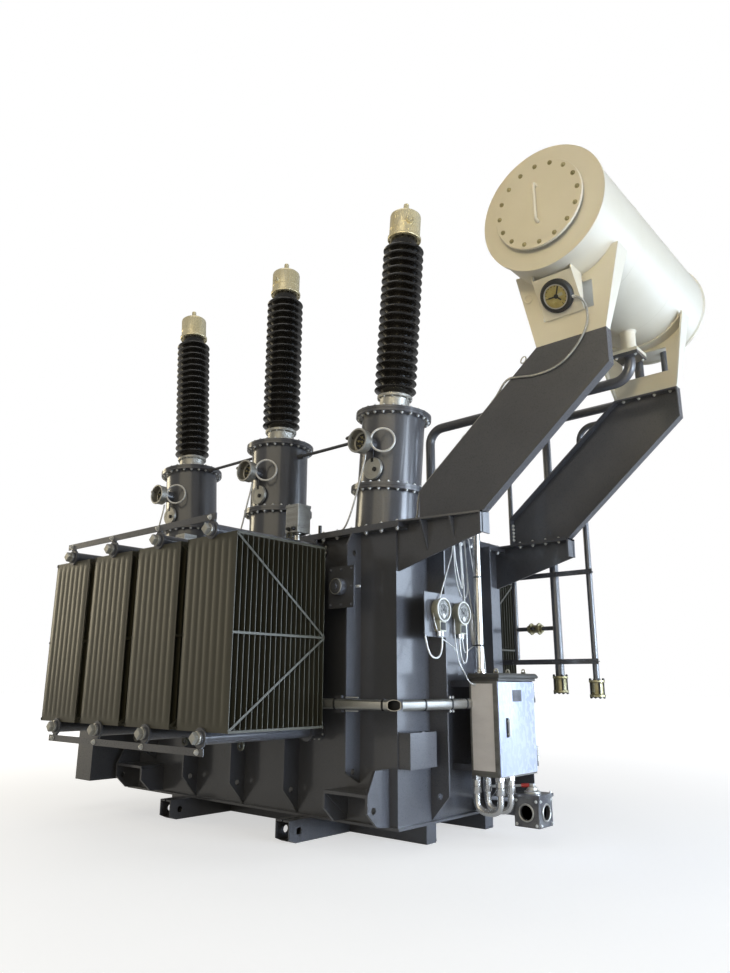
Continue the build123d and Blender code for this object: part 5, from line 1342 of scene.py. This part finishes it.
floor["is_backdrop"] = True


def area_light(name, place, target, size, power, colour, spread=180):
    data = bpy.data.lights.new(name, "AREA")
    data.spread = math.radians(spread)
    data.shape = "DISK"
    data.size = size
    data.energy = power
    data.color = colour
    light = bpy.data.objects.new(name, data)
    light.visible_camera = False
    light.location = place
    light.rotation_euler = (Vector(target) - Vector(place)).to_track_quat("-Z", "Y").to_euler()
    bpy.context.scene.collection.objects.link(light)


WARM = (1.0, 0.88, 0.62)
area_light("window", (13.0, -0.5, 2.4), (0.5, 0, 1.4), 7, 1080, (0.74, 0.85, 1.0))
area_light("far_window", (10.0, 8.5, 2.8), (0.7, 0, 1.0), 8, 720, (0.70, 0.83, 1.0))
area_light("hall", (-14.0, -3.0, 4.0), (0, -0.5, 2.4), 7, 600, WARM)
area_light("front", (4.0, -13.5, 5.5), (0, 0, 2), 16, 600, WARM)
area_light("near_end", (5.5, -9.5, 3.8), (2.15, -1.0, 3.9), 2.5, 5, (1.0, 0.84, 0.50), 15)
area_light("low_window", (11.0, 2.0, 1.0), (0.8, -0.2, 0.55), 4, 60, (0.66, 0.80, 1.0), 36)
area_light("top", (-1, -1, 14), (0, 0, 0), 8, 160, (1.0, 0.97, 0.92))

world = bpy.data.worlds.new("studio")
bpy.context.scene.world = world
world.use_nodes = True
sky = world.node_tree
backdrop = sky.nodes["Background"]
backdrop.inputs["Color"].default_value = (1, 1, 1, 1)
rays = add_node(sky, "LightPath").outputs
strength = add_node(sky, "MapRange", To_Min=WORLD_LIGHT, To_Max=1.0)
sky.links.new(rays["Is Camera Ray"], strength.inputs["Value"])
brightness = math_node(sky, "MULTIPLY_ADD", rays["Is Glossy Ray"], MIRRORED, strength.outputs["Result"])
sky.links.new(brightness, backdrop.inputs["Strength"])

# Camera: its focal length in pixels of the photograph's height, its place and its angles
FOCAL, PHOTO_HEIGHT, SENSOR = 744.8, 973, 36
CAMERA_PLACE = station(3254, -4110, 930) * MM
yaw, pitch, roll = (math.radians(angle) for angle in (40.81, 14.74, 0.232))
camera_data = bpy.data.cameras.new("camera")
camera_data.sensor_width = SENSOR
camera_data.lens = SENSOR * FOCAL / PHOTO_HEIGHT
camera_data.clip_end = 300
camera = bpy.data.objects.new("camera", camera_data)
bpy.context.scene.collection.objects.link(camera)
bpy.context.scene.camera = camera
look = Vector((-math.sin(yaw) * math.cos(pitch), math.cos(yaw) * math.cos(pitch), math.sin(pitch)))
level = Vector((math.cos(yaw), math.sin(yaw), 0))
lift = level.cross(look)
right = level * math.cos(roll) + lift * math.sin(roll)
above = lift * math.cos(roll) - level * math.sin(roll)
camera.matrix_world = at(CAMERA_PLACE) @ Matrix((right, above, -look)).transposed().to_4x4()

bpy.context.scene.view_settings.view_transform = "Standard"
low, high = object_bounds()
